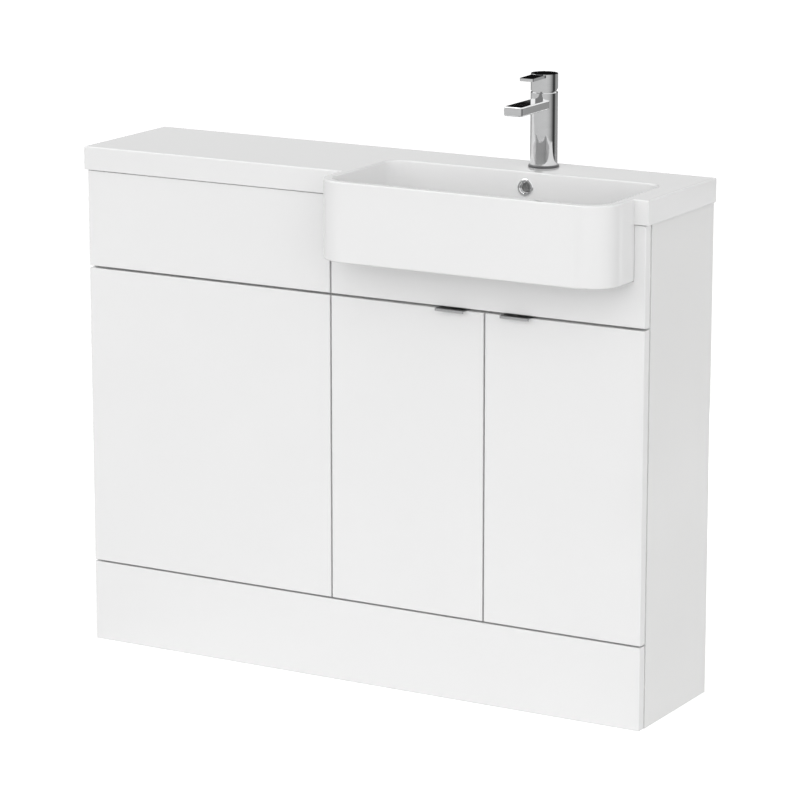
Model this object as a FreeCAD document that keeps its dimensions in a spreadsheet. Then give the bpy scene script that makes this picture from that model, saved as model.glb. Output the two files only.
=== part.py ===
"""Combination vanity unit: a back-to-wall WC unit and a two-door vanity unit side by side under one
moulded worktop with a semi-recessed basin, with the tap, the waste, the trap and the door hinges.

Frame: millimetres, +Z up, +X to the right, +Y to the wall.  The origin is on the floor, in the middle
of the width and of the depth from the front of the basin to the wall.
"""

import FreeCAD
import Part
import Sketcher
import os
import re

# Driving dimensions: alias, value in millimetres or degrees, meaning
SIZES = (
    ("wc_width", 500, "width of the WC carcass"),
    ("vanity_width", 600, "width of the vanity carcass"),
    ("carcass_height", 862.5, "floor to the underside of the worktop"),
    ("unit_depth", 255, "front face of the doors to the wall"),
    ("board", 18, "thickness of the carcass boards"),
    ("rail_height", 90, "height of the upright rails"),
    ("back_thickness", 6, "thickness of the vanity back panel"),
    ("back_height", 600, "height of the vanity back panel"),
    ("service_void", 45, "space for pipes behind the vanity back panel"),
    ("front_thickness", 18, "thickness of doors, panels, fascia and plinth"),
    ("seat_gap", 2, "space between the fronts and the carcass"),
    ("front_gap", 3, "upright gap between two fronts"),
    ("front_radius", 1.5, "rounded front edges of doors and panels"),
    ("plinth_height", 145.5, "height of the plinth"),
    ("plinth_gap", 3, "gap above the plinth"),
    ("fascia_height", 171, "height of the fascia and the WC upper panel"),
    ("door_gap", 4, "gap between the doors and the fascia"),
    ("top_gap", 1.5, "gap under the worktop"),
    ("shelf_height", 400, "floor to the underside of the shelf"),
    ("shelf_setback", 30, "shelf front behind the carcass front"),
    ("shelf_play", 1, "clearance round the shelf"),
    ("pin_radius", 2.5, "radius of the shelf pins and their holes"),
    ("pin_grip", 8, "length of a shelf pin in the side panel and under the shelf"),
    ("pin_inset", 35, "shelf pin from the edge of the shelf"),
    ("clip_radius", 7, "radius of a panel clip's spacer disc"),
    ("peg_radius", 4, "radius of a panel clip's pegs"),
    ("peg_length", 10, "length of each peg of a panel clip"),
    ("clip_inset", 100, "panel clip from the ends of the WC lower panel"),
    ("bolt_radius", 2.5, "radius of the bolts that join the carcasses"),
    ("bolt_head_radius", 7, "radius of their heads"),
    ("bolt_head", 2, "height of their heads"),
    ("bolt_inset", 30, "joining bolts from the front and back edges"),
    ("bolt_low", 330, "height of the lower joining bolts"),
    ("bolt_high", 755, "height of the upper joining bolts"),
    ("wall_hole", 3, "radius of the wall fixing holes"),
    ("wall_hole_inset", 60, "wall fixing hole from the end of its rail"),
    ("cistern_rail_height", 560, "floor to the underside of the cistern rail"),
    ("worktop_thickness", 41.5, "height of the worktop edge"),
    ("worktop_shell", 14, "wall of the hollow worktop moulding"),
    ("side_overhang", 4, "worktop past the carcass at each end"),
    ("front_overhang", 2.5, "worktop in front of the doors"),
    ("worktop_radius", 3, "rounded top edges of worktop and basin"),
    ("basin_margin", 22.5, "vanity unit beyond the basin on each side"),
    ("basin_projection", 101, "basin in front of the doors"),
    ("basin_height", 137, "height of the basin's apron"),
    ("basin_corner", 57, "outside corner radius of the basin"),
    ("basin_rim", 15, "width of the rim at the front"),
    ("basin_side_rim", 17.5, "width of the rim at the sides"),
    ("basin_wall", 14, "wall behind the bowl"),
    ("basin_under_radius", 3, "rounded lower edge of the apron"),
    ("basin_clearance", 0.5, "fascia cut-out round the basin"),
    ("rail_drop", 6, "front rail below the basin"),
    ("bowl_length", 232, "bowl from front to back at the rim"),
    ("bowl_depth", 115, "depth of the bowl"),
    ("bowl_taper", 4, "lean of the bowl's walls in degrees"),
    ("bowl_front_corner", 40, "corner radius at the front of the bowl"),
    ("bowl_back_corner", 28, "corner radius at the back of the bowl"),
    ("bowl_floor_radius", 22, "curve from the walls to the floor"),
    ("waste_from_back", 66, "waste from the back of the bowl at the rim"),
    ("waste_hole", 22.5, "radius of the waste hole"),
    ("overflow_drop", 27, "overflow below the rim"),
    ("overflow_hole", 12, "radius of the overflow hole"),
    ("overflow_duct", 8, "radius of the upright overflow duct"),
    ("overflow_outlet", 4, "radius of the duct to the waste"),
    ("overflow_boss", 22, "half width and depth of the boss round the duct"),
    ("overflow_ring_radius", 15, "outside radius of the overflow ring"),
    ("overflow_ring_hole", 10, "hole radius of the overflow ring"),
    ("overflow_ring_height", 2.5, "overflow ring in front of the wall"),
    ("overflow_sleeve", 9, "length of the ring's sleeve"),
    ("trim_wall", 1, "wall of thin metal sleeves"),
    ("tap_from_back", 45, "tap axis from the wall"),
    ("tap_hole", 17.5, "radius of the tap hole"),
    ("tap_height", 160.5, "top of the tap above the worktop"),
    ("tap_radius", 23.3, "radius of the tap's body and head"),
    ("tap_ring_radius", 26.6, "radius of the tap's base ring"),
    ("tap_ring_height", 4, "height of the tap's base ring"),
    ("tap_spigot_radius", 16, "radius of the tap's spigot in the tap hole"),
    ("tap_spigot_length", 12, "spigot below the worktop's surface"),
    ("tap_recess_radius", 14.5, "radius of the hollow in the spigot"),
    ("tap_recess_height", 2, "hollow in the spigot above the worktop's surface"),
    ("tap_head", 29, "height of the tap's head with the lever"),
    ("tap_seam", 3.3, "height of the groove between body and head"),
    ("seam_play", 0.5, "head above the cartridge nut"),
    ("seam_inset", 3, "groove behind the tap's outside"),
    ("spout_reach", 117, "tip of the spout from the tap's axis"),
    ("spout_width", 35, "width of the spout"),
    ("spout_thickness", 16, "thickness of the spout"),
    ("spout_below_seam", 11, "top of the spout below the groove"),
    ("spout_corner", 6, "rounded corners of the spout's tip"),
    ("spout_radius", 2, "rounded long edges of the spout"),
    ("aerator_radius", 11, "radius of the aerator"),
    ("aerator_height", 8, "height of the aerator"),
    ("aerator_inset", 19, "aerator from the tip of the spout"),
    ("lever_length", 68, "tip of the lever from the tap's axis"),
    ("lever_width", 26, "width of the lever"),
    ("lever_thickness", 5, "thickness of the lever"),
    ("lever_fall", 1.2, "fall of the lever to its tip"),
    ("lever_corner", 4, "rounded corners of the lever's tip"),
    ("lever_tilt", 20, "tilt of the lever in degrees"),
    ("lever_relief", 3, "start of the relief under the head, in front of the axis"),
    ("cartridge_radius", 17.5, "radius of the tap's cartridge"),
    ("cartridge_height", 30, "height of the cartridge"),
    ("cartridge_nut", 4, "height of the cartridge nut in the body"),
    ("driver_recess", 11, "radius of the cartridge's recess"),
    ("driver_height", 12, "height of the driver"),
    ("running_gap", 0.3, "clearance between moving pieces"),
    ("spindle_width", 7.6, "width and thickness of the spindle"),
    ("spindle_top", 19, "spindle above the groove"),
    ("tilt_pin", 1.5, "radius of the spindle's pin"),
    ("inlet_radius", 5, "radius of the tap's threaded inlets"),
    ("inlet_depth", 14, "depth of the tap's threaded inlets"),
    ("inlet_offset", 8, "inlets from the tap's axis"),
    ("inlet_clearance", 1, "clamp plate's mouth round the inlets"),
    ("stud_radius", 3, "radius of the tap's fixing stud"),
    ("stud_offset", 11, "stud in front of the tap's axis"),
    ("stud_length", 62, "stud below the worktop's surface"),
    ("stud_grip", 10, "stud inside the tap's body"),
    ("clamp_radius", 21, "radius of the tap's seal and clamp plate"),
    ("clamp_seal", 3, "thickness of the tap's seal"),
    ("clamp_plate", 2, "thickness of the clamp plate"),
    ("stud_nut", 12, "height of the stud nut"),
    ("stud_nut_flat", 9, "width of the stud nut across its flats"),
    ("waste_flange", 32, "radius of the waste's flange"),
    ("waste_flange_height", 3, "height of the waste's flange"),
    ("waste_tube", 20.9, "outside radius of the waste's tube"),
    ("waste_bore", 18, "inside radius of the waste's tube"),
    ("waste_length", 90, "waste's tube below the bowl's floor"),
    ("waste_slot", 12, "width of the overflow slots in the waste"),
    ("plug_radius", 29, "radius of the click plug"),
    ("plug_height", 6, "height of the click plug"),
    ("stem_radius", 3, "radius of the plug's stem"),
    ("stem_length", 50, "length of the plug's stem"),
    ("spider_height", 6, "height of the stem's guide"),
    ("spider_boss", 6, "radius of the stem's guide"),
    ("seal_radius", 30, "radius of the waste's seal"),
    ("seal_height", 4, "height of the waste's seal"),
    ("backnut_flat", 56, "width of the back nut across its flats"),
    ("backnut_height", 9, "height of the back nut"),
    ("trap_nut_radius", 27, "radius of the trap's inlet nut"),
    ("trap_nut_height", 22, "height of the trap's inlet nut"),
    ("trap_radius", 24, "radius of the trap's upper body"),
    ("trap_height", 50, "height of the trap's upper body"),
    ("trap_wall", 2.5, "wall of the trap"),
    ("cup_radius", 29, "radius of the trap's cup"),
    ("cup_height", 75, "height of the trap's cup"),
    ("cup_bottom_radius", 10, "rounded bottom of the trap's cup"),
    ("outlet_length", 48, "trap outlet from the trap's axis"),
    ("outlet_nut_radius", 24, "radius of the trap's outlet nut"),
    ("outlet_nut_length", 20, "length of the trap's outlet nut"),
    ("pipe_radius", 16, "outside radius of the waste pipe"),
    ("pipe_wall", 1.8, "wall of the waste pipe"),
    ("pipe_clearance", 5, "hole round the waste pipe"),
    ("pipe_push_fit", 40, "free end of the waste pipe for a push-fit joint"),
    ("pipe_mark_width", 1.5, "width of the groove that marks the free end"),
    ("pipe_mark_depth", 0.3, "depth of that groove"),
    ("handle_length", 54, "length of a finger pull"),
    ("handle_from_gap", 33.5, "finger pull from the door's free edge"),
    ("handle_reach", 11, "finger pull in front of the door"),
    ("handle_thickness", 1.6, "thickness of the finger pull"),
    ("handle_leg", 18, "leg of the finger pull behind the door"),
    ("handle_lip", 3, "turned-down front edge of the finger pull"),
    ("handle_screw", 1.5, "radius of the finger pull's screws"),
    ("handle_screw_length", 12, "length of those screws in the door"),
    ("handle_screw_inset", 12, "those screws from the ends of the finger pull"),
    ("handle_screw_drop", 10, "those screws below the top of the door"),
    ("buffer_radius", 4, "radius of a door buffer"),
    ("buffer_inset", 12, "buffer from the door's free edge"),
    ("buffer_drop", 7, "buffer from the ends of the door"),
    ("hinge_inset", 100, "hinge from the ends of the door"),
    ("hinge_cup", 17.5, "radius of the hinge cup"),
    ("hinge_cup_depth", 12.2, "depth of the hinge cup in the door"),
    ("hinge_cup_edge", 4, "hinge cup from the edge of the door"),
    ("hinge_sheet", 0.8, "wall of the hinge cup and its flange"),
    ("hinge_flange_length", 62, "length of the cup's flange"),
    ("hinge_flange_width", 16, "width of the cup's flange"),
    ("hinge_pin", 1.5, "radius of the hinge pins"),
    ("hinge_play", 0.1, "clearance round the hinge pins"),
    ("hinge_eye", 2.7, "radius of the link's eyes"),
    ("link_thickness", 3, "thickness of the bowed link"),
    ("link_bow", 9, "bow of the link"),
    ("link_width", 10, "width of the link along its pins"),
    ("cup_pin_across", 12.3, "cup pin from the edge of the door"),
    ("cup_pin_deep", 2.5, "cup pin below the back of the door"),
    ("arm_pin_across", 30, "arm pin from the edge of the door"),
    ("arm_pin_deep", 5.5, "arm pin behind the carcass front"),
    ("arm_width", 15, "width of the hinge arm along its pins"),
    ("arm_nose", 3, "radius of the arm round its pin"),
    ("arm_slot", 9, "slot in the arm behind its pin"),
    ("arm_length", 58, "hinge arm behind the carcass front"),
    ("arm_neck", 17, "start of the arm's foot behind the carcass front"),
    ("plate_height", 4, "height of the hinge's mounting plate"),
    ("plate_front", 22, "mounting plate behind the carcass front"),
    ("plate_length", 30, "mounting plate from front to back"),
    ("plate_width", 50, "mounting plate from top to bottom"),
    ("plate_corner", 6, "rounded corners of the mounting plate"),
)
ALIASES = {alias for alias, number, meaning in SIZES}

doc = FreeCAD.newDocument("combination_vanity_unit")
sheet = doc.addObject("Spreadsheet::Sheet", "sizes")
for row, (alias, number, meaning) in enumerate(SIZES, start=1):
    sheet.set(f"A{row}", meaning)
    sheet.set(f"B{row}", str(number))
    sheet.setAlias(f"B{row}", alias)
doc.recompute()

# Places that follow from the driving dimensions
LEFT = "(-(wc_width + vanity_width) / 2)"
JOIN = f"({LEFT} + wc_width)"
RIGHT = f"({JOIN} + vanity_width)"
MIDDLE = f"({JOIN} + vanity_width / 2)"
FRONT = "((basin_projection - unit_depth) / 2)"
BACK = f"({FRONT} + unit_depth)"
CARCASS_FRONT = f"({FRONT} + front_thickness + seat_gap)"
CARCASS_DEPTH = "(unit_depth - front_thickness - seat_gap)"
TOP = "(carcass_height + worktop_thickness)"
DOOR_BOTTOM = "(plinth_height + plinth_gap)"
FASCIA_BOTTOM = "(carcass_height - top_gap - fascia_height)"
BASIN_WIDTH = "(vanity_width - 2 * basin_margin)"
DOOR_TOP = f"({FASCIA_BOTTOM} - door_gap)"
DOOR_HEIGHT = f"({DOOR_TOP} - {DOOR_BOTTOM})"
DOOR_WIDTH = "(vanity_width / 2 - front_gap)"
DOOR_EDGE = f"({JOIN} + front_gap / 2)"
WC_INSIDE = "(wc_width - 2 * board)"
VANITY_INSIDE = "(vanity_width - 2 * board)"
BACK_PANEL = f"({BACK} - service_void - back_thickness)"
BASIN_BOTTOM = f"({TOP} - basin_height)"
BOWL_BACK = "(basin_rim + bowl_length - basin_projection)"
BLOCK_BACK = f"({BOWL_BACK} + basin_wall)"
WASTE_BACK = f"({BOWL_BACK} - waste_from_back)"
TAP_BACK = "(unit_depth - tap_from_back)"
SEAM = "(tap_height - tap_head - tap_seam)"
TILT_AXIS = f"({SEAM} - cartridge_nut - driver_height / 2)"
LOW_HINGE = f"({DOOR_BOTTOM} + hinge_inset)"
HIGH_HINGE = f"({DOOR_TOP} - hinge_inset)"


# Sheet and sketch helpers

def cells(expression):
    """The expression with every alias written as a cell of the sheet."""
    return re.sub("[a-z_]+", lambda word: f"sizes.{word[0]}" if word[0] in ALIASES else word[0], expression)


def number_of(expression):
    return float(sheet.evalExpression(cells(expression)))


def bind(thing, name, expression):
    thing.setExpression(name, cells(expression))


def place(thing, x="0", y="0", z="0"):
    for axis, expression in zip("xyz", (x, y, z)):
        bind(thing, f"Placement.Base.{axis}", expression)


def new_body(name):
    body = doc.addObject("PartDesign::Body", name)
    body.Label = name
    return body


def new_sketch(body, plane="XY_Plane", lift="0"):
    """A sketch on one of the body's own planes, lifted along the plane's normal."""
    sketch = body.newObject("Sketcher::SketchObject", body.Label + "_sketch")
    support = next(item for item in body.Origin.OriginFeatures if item.Role == plane)
    sketch.AttachmentSupport = [(support, "")]
    sketch.MapMode = "FlatFace"
    bind(sketch, "AttachmentOffset.Base.z", lift)
    return sketch


def hold(sketch, kind, points, expression):
    """A dimension between two points of the sketch, bound to the expression."""
    index = sketch.addConstraint(Sketcher.Constraint(kind, *points, number_of(expression)))
    bind(sketch, f"Constraints[{index}]", expression)


def draw_outline(sketch, corners):
    """A closed outline of straight lines through corners given as expressions."""
    points = [FreeCAD.Vector(number_of(x), number_of(y)) for x, y in corners]
    lines = []
    for start, end in zip(points, points[1:] + points[:1]):
        lines.append(sketch.addGeometry(Part.LineSegment(start, end)))
    for line, following in zip(lines, lines[1:] + lines[:1]):
        sketch.addConstraint(Sketcher.Constraint("Coincident", line, 2, following, 1))
    for line, (x, y) in zip(lines, corners):
        hold(sketch, "DistanceX", (-1, 1, line, 1), x)
        hold(sketch, "DistanceY", (-1, 1, line, 1), y)


def draw_rectangle(sketch, x, y, width, height):
    right = f"{x} + {width}"
    top = f"{y} + {height}"
    draw_outline(sketch, [(x, y), (right, y), (right, top), (x, top)])


def draw_circle(sketch, x, y, radius):
    centre = FreeCAD.Vector(number_of(x), number_of(y))
    circle = sketch.addGeometry(Part.Circle(centre, FreeCAD.Vector(0, 0, 1), number_of(radius)))
    hold(sketch, "DistanceX", (-1, 1, circle, 3), x)
    hold(sketch, "DistanceY", (-1, 1, circle, 3), y)
    hold(sketch, "Radius", (circle,), radius)


def draw_hexagon(sketch, flat):
    """A regular hexagon round the sketch's origin, given its width across the flats."""
    half = f"({flat} / 2)"
    edge = f"({flat} / sqrt(3))"
    draw_outline(sketch, [(edge, "0"), (f"{edge} / 2", half), (f"-{edge} / 2", half),
                          (f"-{edge}", "0"), (f"-{edge} / 2", f"-{half}"), (f"{edge} / 2", f"-{half}")])


# Feature helpers

def pad(body, sketch, length, backwards=False):
    feature = body.newObject("PartDesign::Pad", body.Label + "_pad")
    feature.Profile = sketch
    feature.Reversed = backwards
    bind(feature, "Length", length)
    doc.recompute()
    return feature


def pocket(body, sketch, depth, backwards=False, taper=None):
    """A cut from the sketch against its normal, or along it when backwards."""
    before = body.Shape.Volume
    feature = body.newObject("PartDesign::Pocket", body.Label + "_pocket")
    feature.Profile = sketch
    feature.Reversed = backwards
    bind(feature, "Length", depth)
    if taper:
        bind(feature, "TaperAngle", taper)
    doc.recompute()
    if not body.Shape.Volume < before:
        raise RuntimeError(f"{body.Label}: a pocket cuts nothing")
    return feature


def revolve(body, sketch):
    """A full turn of the sketch about its upright axis."""
    feature = body.newObject("PartDesign::Revolution", body.Label + "_turn")
    feature.Profile = sketch
    feature.ReferenceAxis = (sketch, ["V_Axis"])
    feature.Angle = 360
    doc.recompute()
    return feature


def round_edges(body, chosen, radius):
    """A fillet on the edges of the body's last feature for which chosen(bounding box) is true."""
    tip = body.Tip
    names = []
    for index, edge in enumerate(tip.Shape.Edges, start=1):
        if chosen(edge.BoundBox):
            names.append(f"Edge{index}")
    if not names:
        raise RuntimeError(f"{body.Label}: no edge to round")
    feature = body.newObject("PartDesign::Fillet", body.Label + "_fillet")
    feature.Base = (tip, names)
    bind(feature, "Radius", radius)
    doc.recompute()
    return feature


def near(first, second):
    return abs(first - second) < 0.01


def upright(box):
    return near(box.XMin, box.XMax) and near(box.YMin, box.YMax)


def level_at(box, height):
    return near(box.ZMin, height) and near(box.ZMax, height)


def board(name, width, depth, height, x, y, z):
    """A rectangular board with its lower front left corner at x, y, z."""
    body = new_body(name)
    outline = new_sketch(body)
    draw_rectangle(outline, "0", "0", width, depth)
    pad(body, outline, height)
    place(body, x, y, z)
    return body


def front_board(name, width, height, x, z):
    """A door, panel, fascia or plinth: a board whose front edges are rounded."""
    body = board(name, width, "front_thickness", height, x, FRONT, z)
    round_edges(body, lambda box: near(box.YMin, 0) and near(box.YMax, 0), "front_radius")
    return body


def holes_from_front(body, spots, radius, depth):
    """Round holes drilled into the front face of a board, at x, z from its corner."""
    sketch = new_sketch(body, "XZ_Plane")
    for x, z in spots:
        draw_circle(sketch, x, z, radius)
    pocket(body, sketch, depth)


def holes_from_back(body, spots, radius, depth):
    """Round holes drilled into the back face of a front board, at x, z from its corner."""
    sketch = new_sketch(body, "XZ_Plane", "-front_thickness")
    for x, z in spots:
        draw_circle(sketch, x, z, radius)
    pocket(body, sketch, depth, backwards=True)


def group(name, pieces):
    compound = doc.addObject("Part::Compound", name)
    compound.Label = name
    compound.Links = pieces
    doc.recompute()
    return compound


def copies(name, source, spots):
    """One node of identical pieces: the source placed at each x, y, z."""
    links = []
    for x, y, z in spots:
        link = doc.addObject("App::Link", name + "_copy")
        link.LinkedObject = source
        link.LinkTransform = True
        place(link, x, y, z)
        links.append(link)
    return group(name, links)


def mirrored(name, source):
    """The piece's mirror image on the other side of the vanity unit's middle."""
    mirror = doc.addObject("Part::Mirroring", name)
    mirror.Label = name
    mirror.Source = source
    mirror.Normal = FreeCAD.Vector(1, 0, 0)
    bind(mirror, "Base.x", MIDDLE)
    doc.recompute()
    return mirror


nodes = []

# Places of the panel clips: middles of the side panels across, and heights
SIDE_MIDDLES = (f"({LEFT} + board / 2)", f"({JOIN} - board / 2)",
                f"({JOIN} + board / 2)", f"({RIGHT} - board / 2)")
PLINTH_CLIP = "(plinth_height / 2)"
PANEL_CLIPS = (f"({DOOR_BOTTOM} + clip_inset)", f"({DOOR_TOP} - clip_inset)")
FASCIA_CLIP = f"({FASCIA_BOTTOM} + fascia_height / 2)"
CLIP_FROM_EDGE = "(board / 2 - front_gap / 2)"


# Carcasses

def side_panel(name, x, clip_heights):
    body = board(name, "board", CARCASS_DEPTH, "carcass_height", x, CARCASS_FRONT, "0")
    holes_from_front(body, [("board / 2", z) for z in clip_heights], "peg_radius", "peg_length")
    nodes.append(body)
    return body


def bolt_holes(body):
    """Holes through a side panel for the bolts that join the two carcasses."""
    sketch = new_sketch(body, "YZ_Plane")
    for y in ("bolt_inset", f"{CARCASS_DEPTH} - bolt_inset"):
        for z in ("bolt_low", "bolt_high"):
            draw_circle(sketch, y, z, "bolt_radius")
    pocket(body, sketch, "board", backwards=True)


SHELF_DEPTH = f"({CARCASS_DEPTH} - service_void - back_thickness - shelf_setback - shelf_play)"
PIN_PLACES = ("(shelf_setback + pin_inset)", f"(shelf_setback + {SHELF_DEPTH} - pin_inset)")


def pin_holes(body, lift, backwards):
    """Holes for the shelf pins in the inner face of a vanity side panel."""
    sketch = new_sketch(body, "YZ_Plane", lift)
    for y in PIN_PLACES:
        draw_circle(sketch, y, "shelf_height - pin_radius", "pin_radius")
    pocket(body, sketch, "pin_grip", backwards)


wc_clips = (PLINTH_CLIP, *PANEL_CLIPS, FASCIA_CLIP)
vanity_clips = (PLINTH_CLIP, FASCIA_CLIP)
side_panel("wc_left_side", LEFT, wc_clips)
bolt_holes(side_panel("wc_right_side", f"{JOIN} - board", wc_clips))
vanity_left = side_panel("vanity_left_side", JOIN, vanity_clips)
bolt_holes(vanity_left)
pin_holes(vanity_left, "board", False)
pin_holes(side_panel("vanity_right_side", f"{RIGHT} - board", vanity_clips), "0", True)


def rail(name, width, x, y, z, height="rail_height"):
    body = board(name, width, "board", height, x, y, z)
    nodes.append(body)
    return body


def wall_rail(name, width, x):
    """A rail at the back under the worktop, with two holes for wall screws."""
    body = rail(name, width, x, f"{BACK} - board", "carcass_height - rail_height")
    spots = [("wall_hole_inset", "rail_height / 2"), (f"{width} - wall_hole_inset", "rail_height / 2")]
    holes_from_front(body, spots, "wall_hole", "board")


WC_RAIL = f"{LEFT} + board"
VANITY_RAIL = f"{JOIN} + board"
rail("wc_top_front_rail", WC_INSIDE, WC_RAIL, CARCASS_FRONT, "carcass_height - rail_height")
rail("wc_middle_rail", WC_INSIDE, WC_RAIL, CARCASS_FRONT, f"{DOOR_TOP} + door_gap / 2 - rail_height / 2")
rail("wc_bottom_rail", WC_INSIDE, WC_RAIL, CARCASS_FRONT, "plinth_height + plinth_gap / 2 - rail_height / 2")
rail("wc_cistern_rail", WC_INSIDE, WC_RAIL, f"{BACK} - board", "cistern_rail_height")
wall_rail("wc_top_back_rail", WC_INSIDE, WC_RAIL)
wall_rail("vanity_top_back_rail", VANITY_INSIDE, VANITY_RAIL)
FRONT_RAIL_BOTTOM = f"({FASCIA_BOTTOM} - board)"
rail("vanity_front_rail", VANITY_INSIDE, VANITY_RAIL, CARCASS_FRONT, FRONT_RAIL_BOTTOM,
     f"{BASIN_BOTTOM} - rail_drop - {FRONT_RAIL_BOTTOM}")
nodes.append(board("vanity_base", VANITY_INSIDE, f"{CARCASS_DEPTH} - service_void - back_thickness", "board",
                   VANITY_RAIL, CARCASS_FRONT, "plinth_height"))
nodes.append(board("vanity_shelf", f"{VANITY_INSIDE} - 2 * shelf_play", SHELF_DEPTH, "board",
                   f"{VANITY_RAIL} + shelf_play", f"{CARCASS_FRONT} + shelf_setback", "shelf_height"))

# The trap's outlet leaves the trap's upper body half way down
TRAP_TOP = f"({TOP} - bowl_depth - waste_length)"
OUTLET = f"({TRAP_TOP} - trap_height / 2)"
back_panel = board("vanity_back_panel", VANITY_INSIDE, "back_thickness", "back_height",
                   VANITY_RAIL, BACK_PANEL, "plinth_height")
holes_from_front(back_panel, [(f"{VANITY_INSIDE} / 2", f"{OUTLET} - plinth_height")],
                 "pipe_radius + pipe_clearance", "back_thickness")
nodes.append(back_panel)

pin = new_body("shelf_pin")
pin_sketch = new_sketch(pin, "YZ_Plane")
draw_circle(pin_sketch, "0", "0", "pin_radius")
pad(pin, pin_sketch, "2 * pin_grip")
pin_spots = []
for x in (f"{JOIN} + board - pin_grip", f"{RIGHT} - board - pin_grip"):
    for y in PIN_PLACES:
        pin_spots.append((x, f"{CARCASS_FRONT} + {y}", "shelf_height - pin_radius"))
nodes.append(copies("shelf_pins", pin, pin_spots))

bolt = new_body("connecting_bolt")
bolt_sketch = new_sketch(bolt, "YZ_Plane", "-board")
draw_circle(bolt_sketch, "0", "0", "bolt_radius")
pad(bolt, bolt_sketch, "2 * board")
for lift in ("-board - bolt_head", "board"):
    head_sketch = new_sketch(bolt, "YZ_Plane", lift)
    draw_circle(head_sketch, "0", "0", "bolt_head_radius")
    pad(bolt, head_sketch, "bolt_head")
bolt_spots = []
for y in ("bolt_inset", f"{CARCASS_DEPTH} - bolt_inset"):
    for z in ("bolt_low", "bolt_high"):
        bolt_spots.append((JOIN, f"{CARCASS_FRONT} + {y}", z))
nodes.append(copies("unit_connecting_bolts", bolt, bolt_spots))

# Fronts and the clips that seat them
PANEL_WIDTH = "(wc_width - front_gap)"
clip_columns = (CLIP_FROM_EDGE, f"{PANEL_WIDTH} - {CLIP_FROM_EDGE}")
lower_panel = front_board("wc_lower_panel", PANEL_WIDTH, DOOR_HEIGHT, f"{LEFT} + front_gap / 2", DOOR_BOTTOM)
lower_heights = ("clip_inset", f"{DOOR_HEIGHT} - clip_inset")
lower_spots = [(x, z) for x in clip_columns for z in lower_heights]
holes_from_back(lower_panel, lower_spots, "peg_radius", "peg_length")
upper_panel = front_board("wc_upper_panel", PANEL_WIDTH, "fascia_height", f"{LEFT} + front_gap / 2",
                          FASCIA_BOTTOM)
holes_from_back(upper_panel, [(x, "fascia_height / 2") for x in clip_columns], "peg_radius", "peg_length")

FASCIA_WIDTH = "(vanity_width - front_gap)"
CUT_OUT = f"({BASIN_WIDTH} + 2 * basin_clearance)"
CUT_OUT_BOTTOM = f"({BASIN_BOTTOM} - basin_clearance - {FASCIA_BOTTOM})"
fascia = front_board("vanity_fascia", FASCIA_WIDTH, "fascia_height", DOOR_EDGE, FASCIA_BOTTOM)
cut_out = new_sketch(fascia, "XZ_Plane")
draw_rectangle(cut_out, f"({FASCIA_WIDTH} - {CUT_OUT}) / 2", CUT_OUT_BOTTOM, CUT_OUT, "fascia_height")
pocket(fascia, cut_out, "front_thickness")
cut_low = number_of(CUT_OUT_BOTTOM)
round_edges(fascia, lambda box: level_at(box, cut_low) and near(box.XMin, box.XMax),
            "basin_under_radius + basin_clearance")
fascia_columns = (CLIP_FROM_EDGE, f"{FASCIA_WIDTH} - {CLIP_FROM_EDGE}")
holes_from_back(fascia, [(x, "fascia_height / 2") for x in fascia_columns], "peg_radius", "peg_length")

PLINTH_LEFT = f"({LEFT} + front_gap / 2)"
plinth = front_board("plinth", "wc_width + vanity_width - front_gap", "plinth_height", PLINTH_LEFT, "0")
plinth_spots = [(f"{x} - {PLINTH_LEFT}", PLINTH_CLIP) for x in SIDE_MIDDLES]
holes_from_back(plinth, plinth_spots, "peg_radius", "peg_length")
nodes.extend((lower_panel, upper_panel, fascia, plinth))

clip = new_body("panel_clip")
disc_sketch = new_sketch(clip, "XZ_Plane")
draw_circle(disc_sketch, "0", "0", "clip_radius")
pad(clip, disc_sketch, "seat_gap", backwards=True)
peg_sketch = new_sketch(clip, "XZ_Plane", "peg_length")
draw_circle(peg_sketch, "0", "0", "peg_radius")
pad(clip, peg_sketch, "2 * peg_length + seat_gap", backwards=True)
clip_spots = []
for x in SIDE_MIDDLES:
    heights = wc_clips if x in SIDE_MIDDLES[:2] else vanity_clips
    for z in heights:
        clip_spots.append((x, f"{FRONT} + front_thickness", z))
nodes.append(copies("panel_clips", clip, clip_spots))


# Worktop and basin in one moulding, in a frame at the basin's middle, the doors' face and the top surface
top = new_body("worktop_basin")
SLAB_LEFT = "(-wc_width - vanity_width / 2 - side_overhang)"
SLAB_WIDTH = "(wc_width + vanity_width + 2 * side_overhang)"
slab_sketch = new_sketch(top, lift="-worktop_thickness")
draw_rectangle(slab_sketch, SLAB_LEFT, "-front_overhang", SLAB_WIDTH, "unit_depth + front_overhang")
pad(top, slab_sketch, "worktop_thickness")

# The moulding is hollow under the WC unit's half and under the ledge that carries the tap
wc_hollow = new_sketch(top, lift="-worktop_thickness")
HOLLOW_LEFT = f"({SLAB_LEFT} + worktop_shell)"
HOLLOW_FRONT = "(worktop_shell - front_overhang)"
draw_rectangle(wc_hollow, HOLLOW_LEFT, HOLLOW_FRONT, f"-vanity_width / 2 - worktop_shell / 2 - {HOLLOW_LEFT}",
               f"unit_depth - worktop_shell - {HOLLOW_FRONT}")
pocket(top, wc_hollow, "worktop_thickness - worktop_shell", backwards=True)
ledge_hollow = new_sketch(top, lift="-worktop_thickness")
draw_rectangle(ledge_hollow, f"-{BASIN_WIDTH} / 2", BLOCK_BACK, BASIN_WIDTH,
               f"unit_depth - worktop_shell - {BLOCK_BACK}")
pocket(top, ledge_hollow, "worktop_thickness - worktop_shell", backwards=True)

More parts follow.
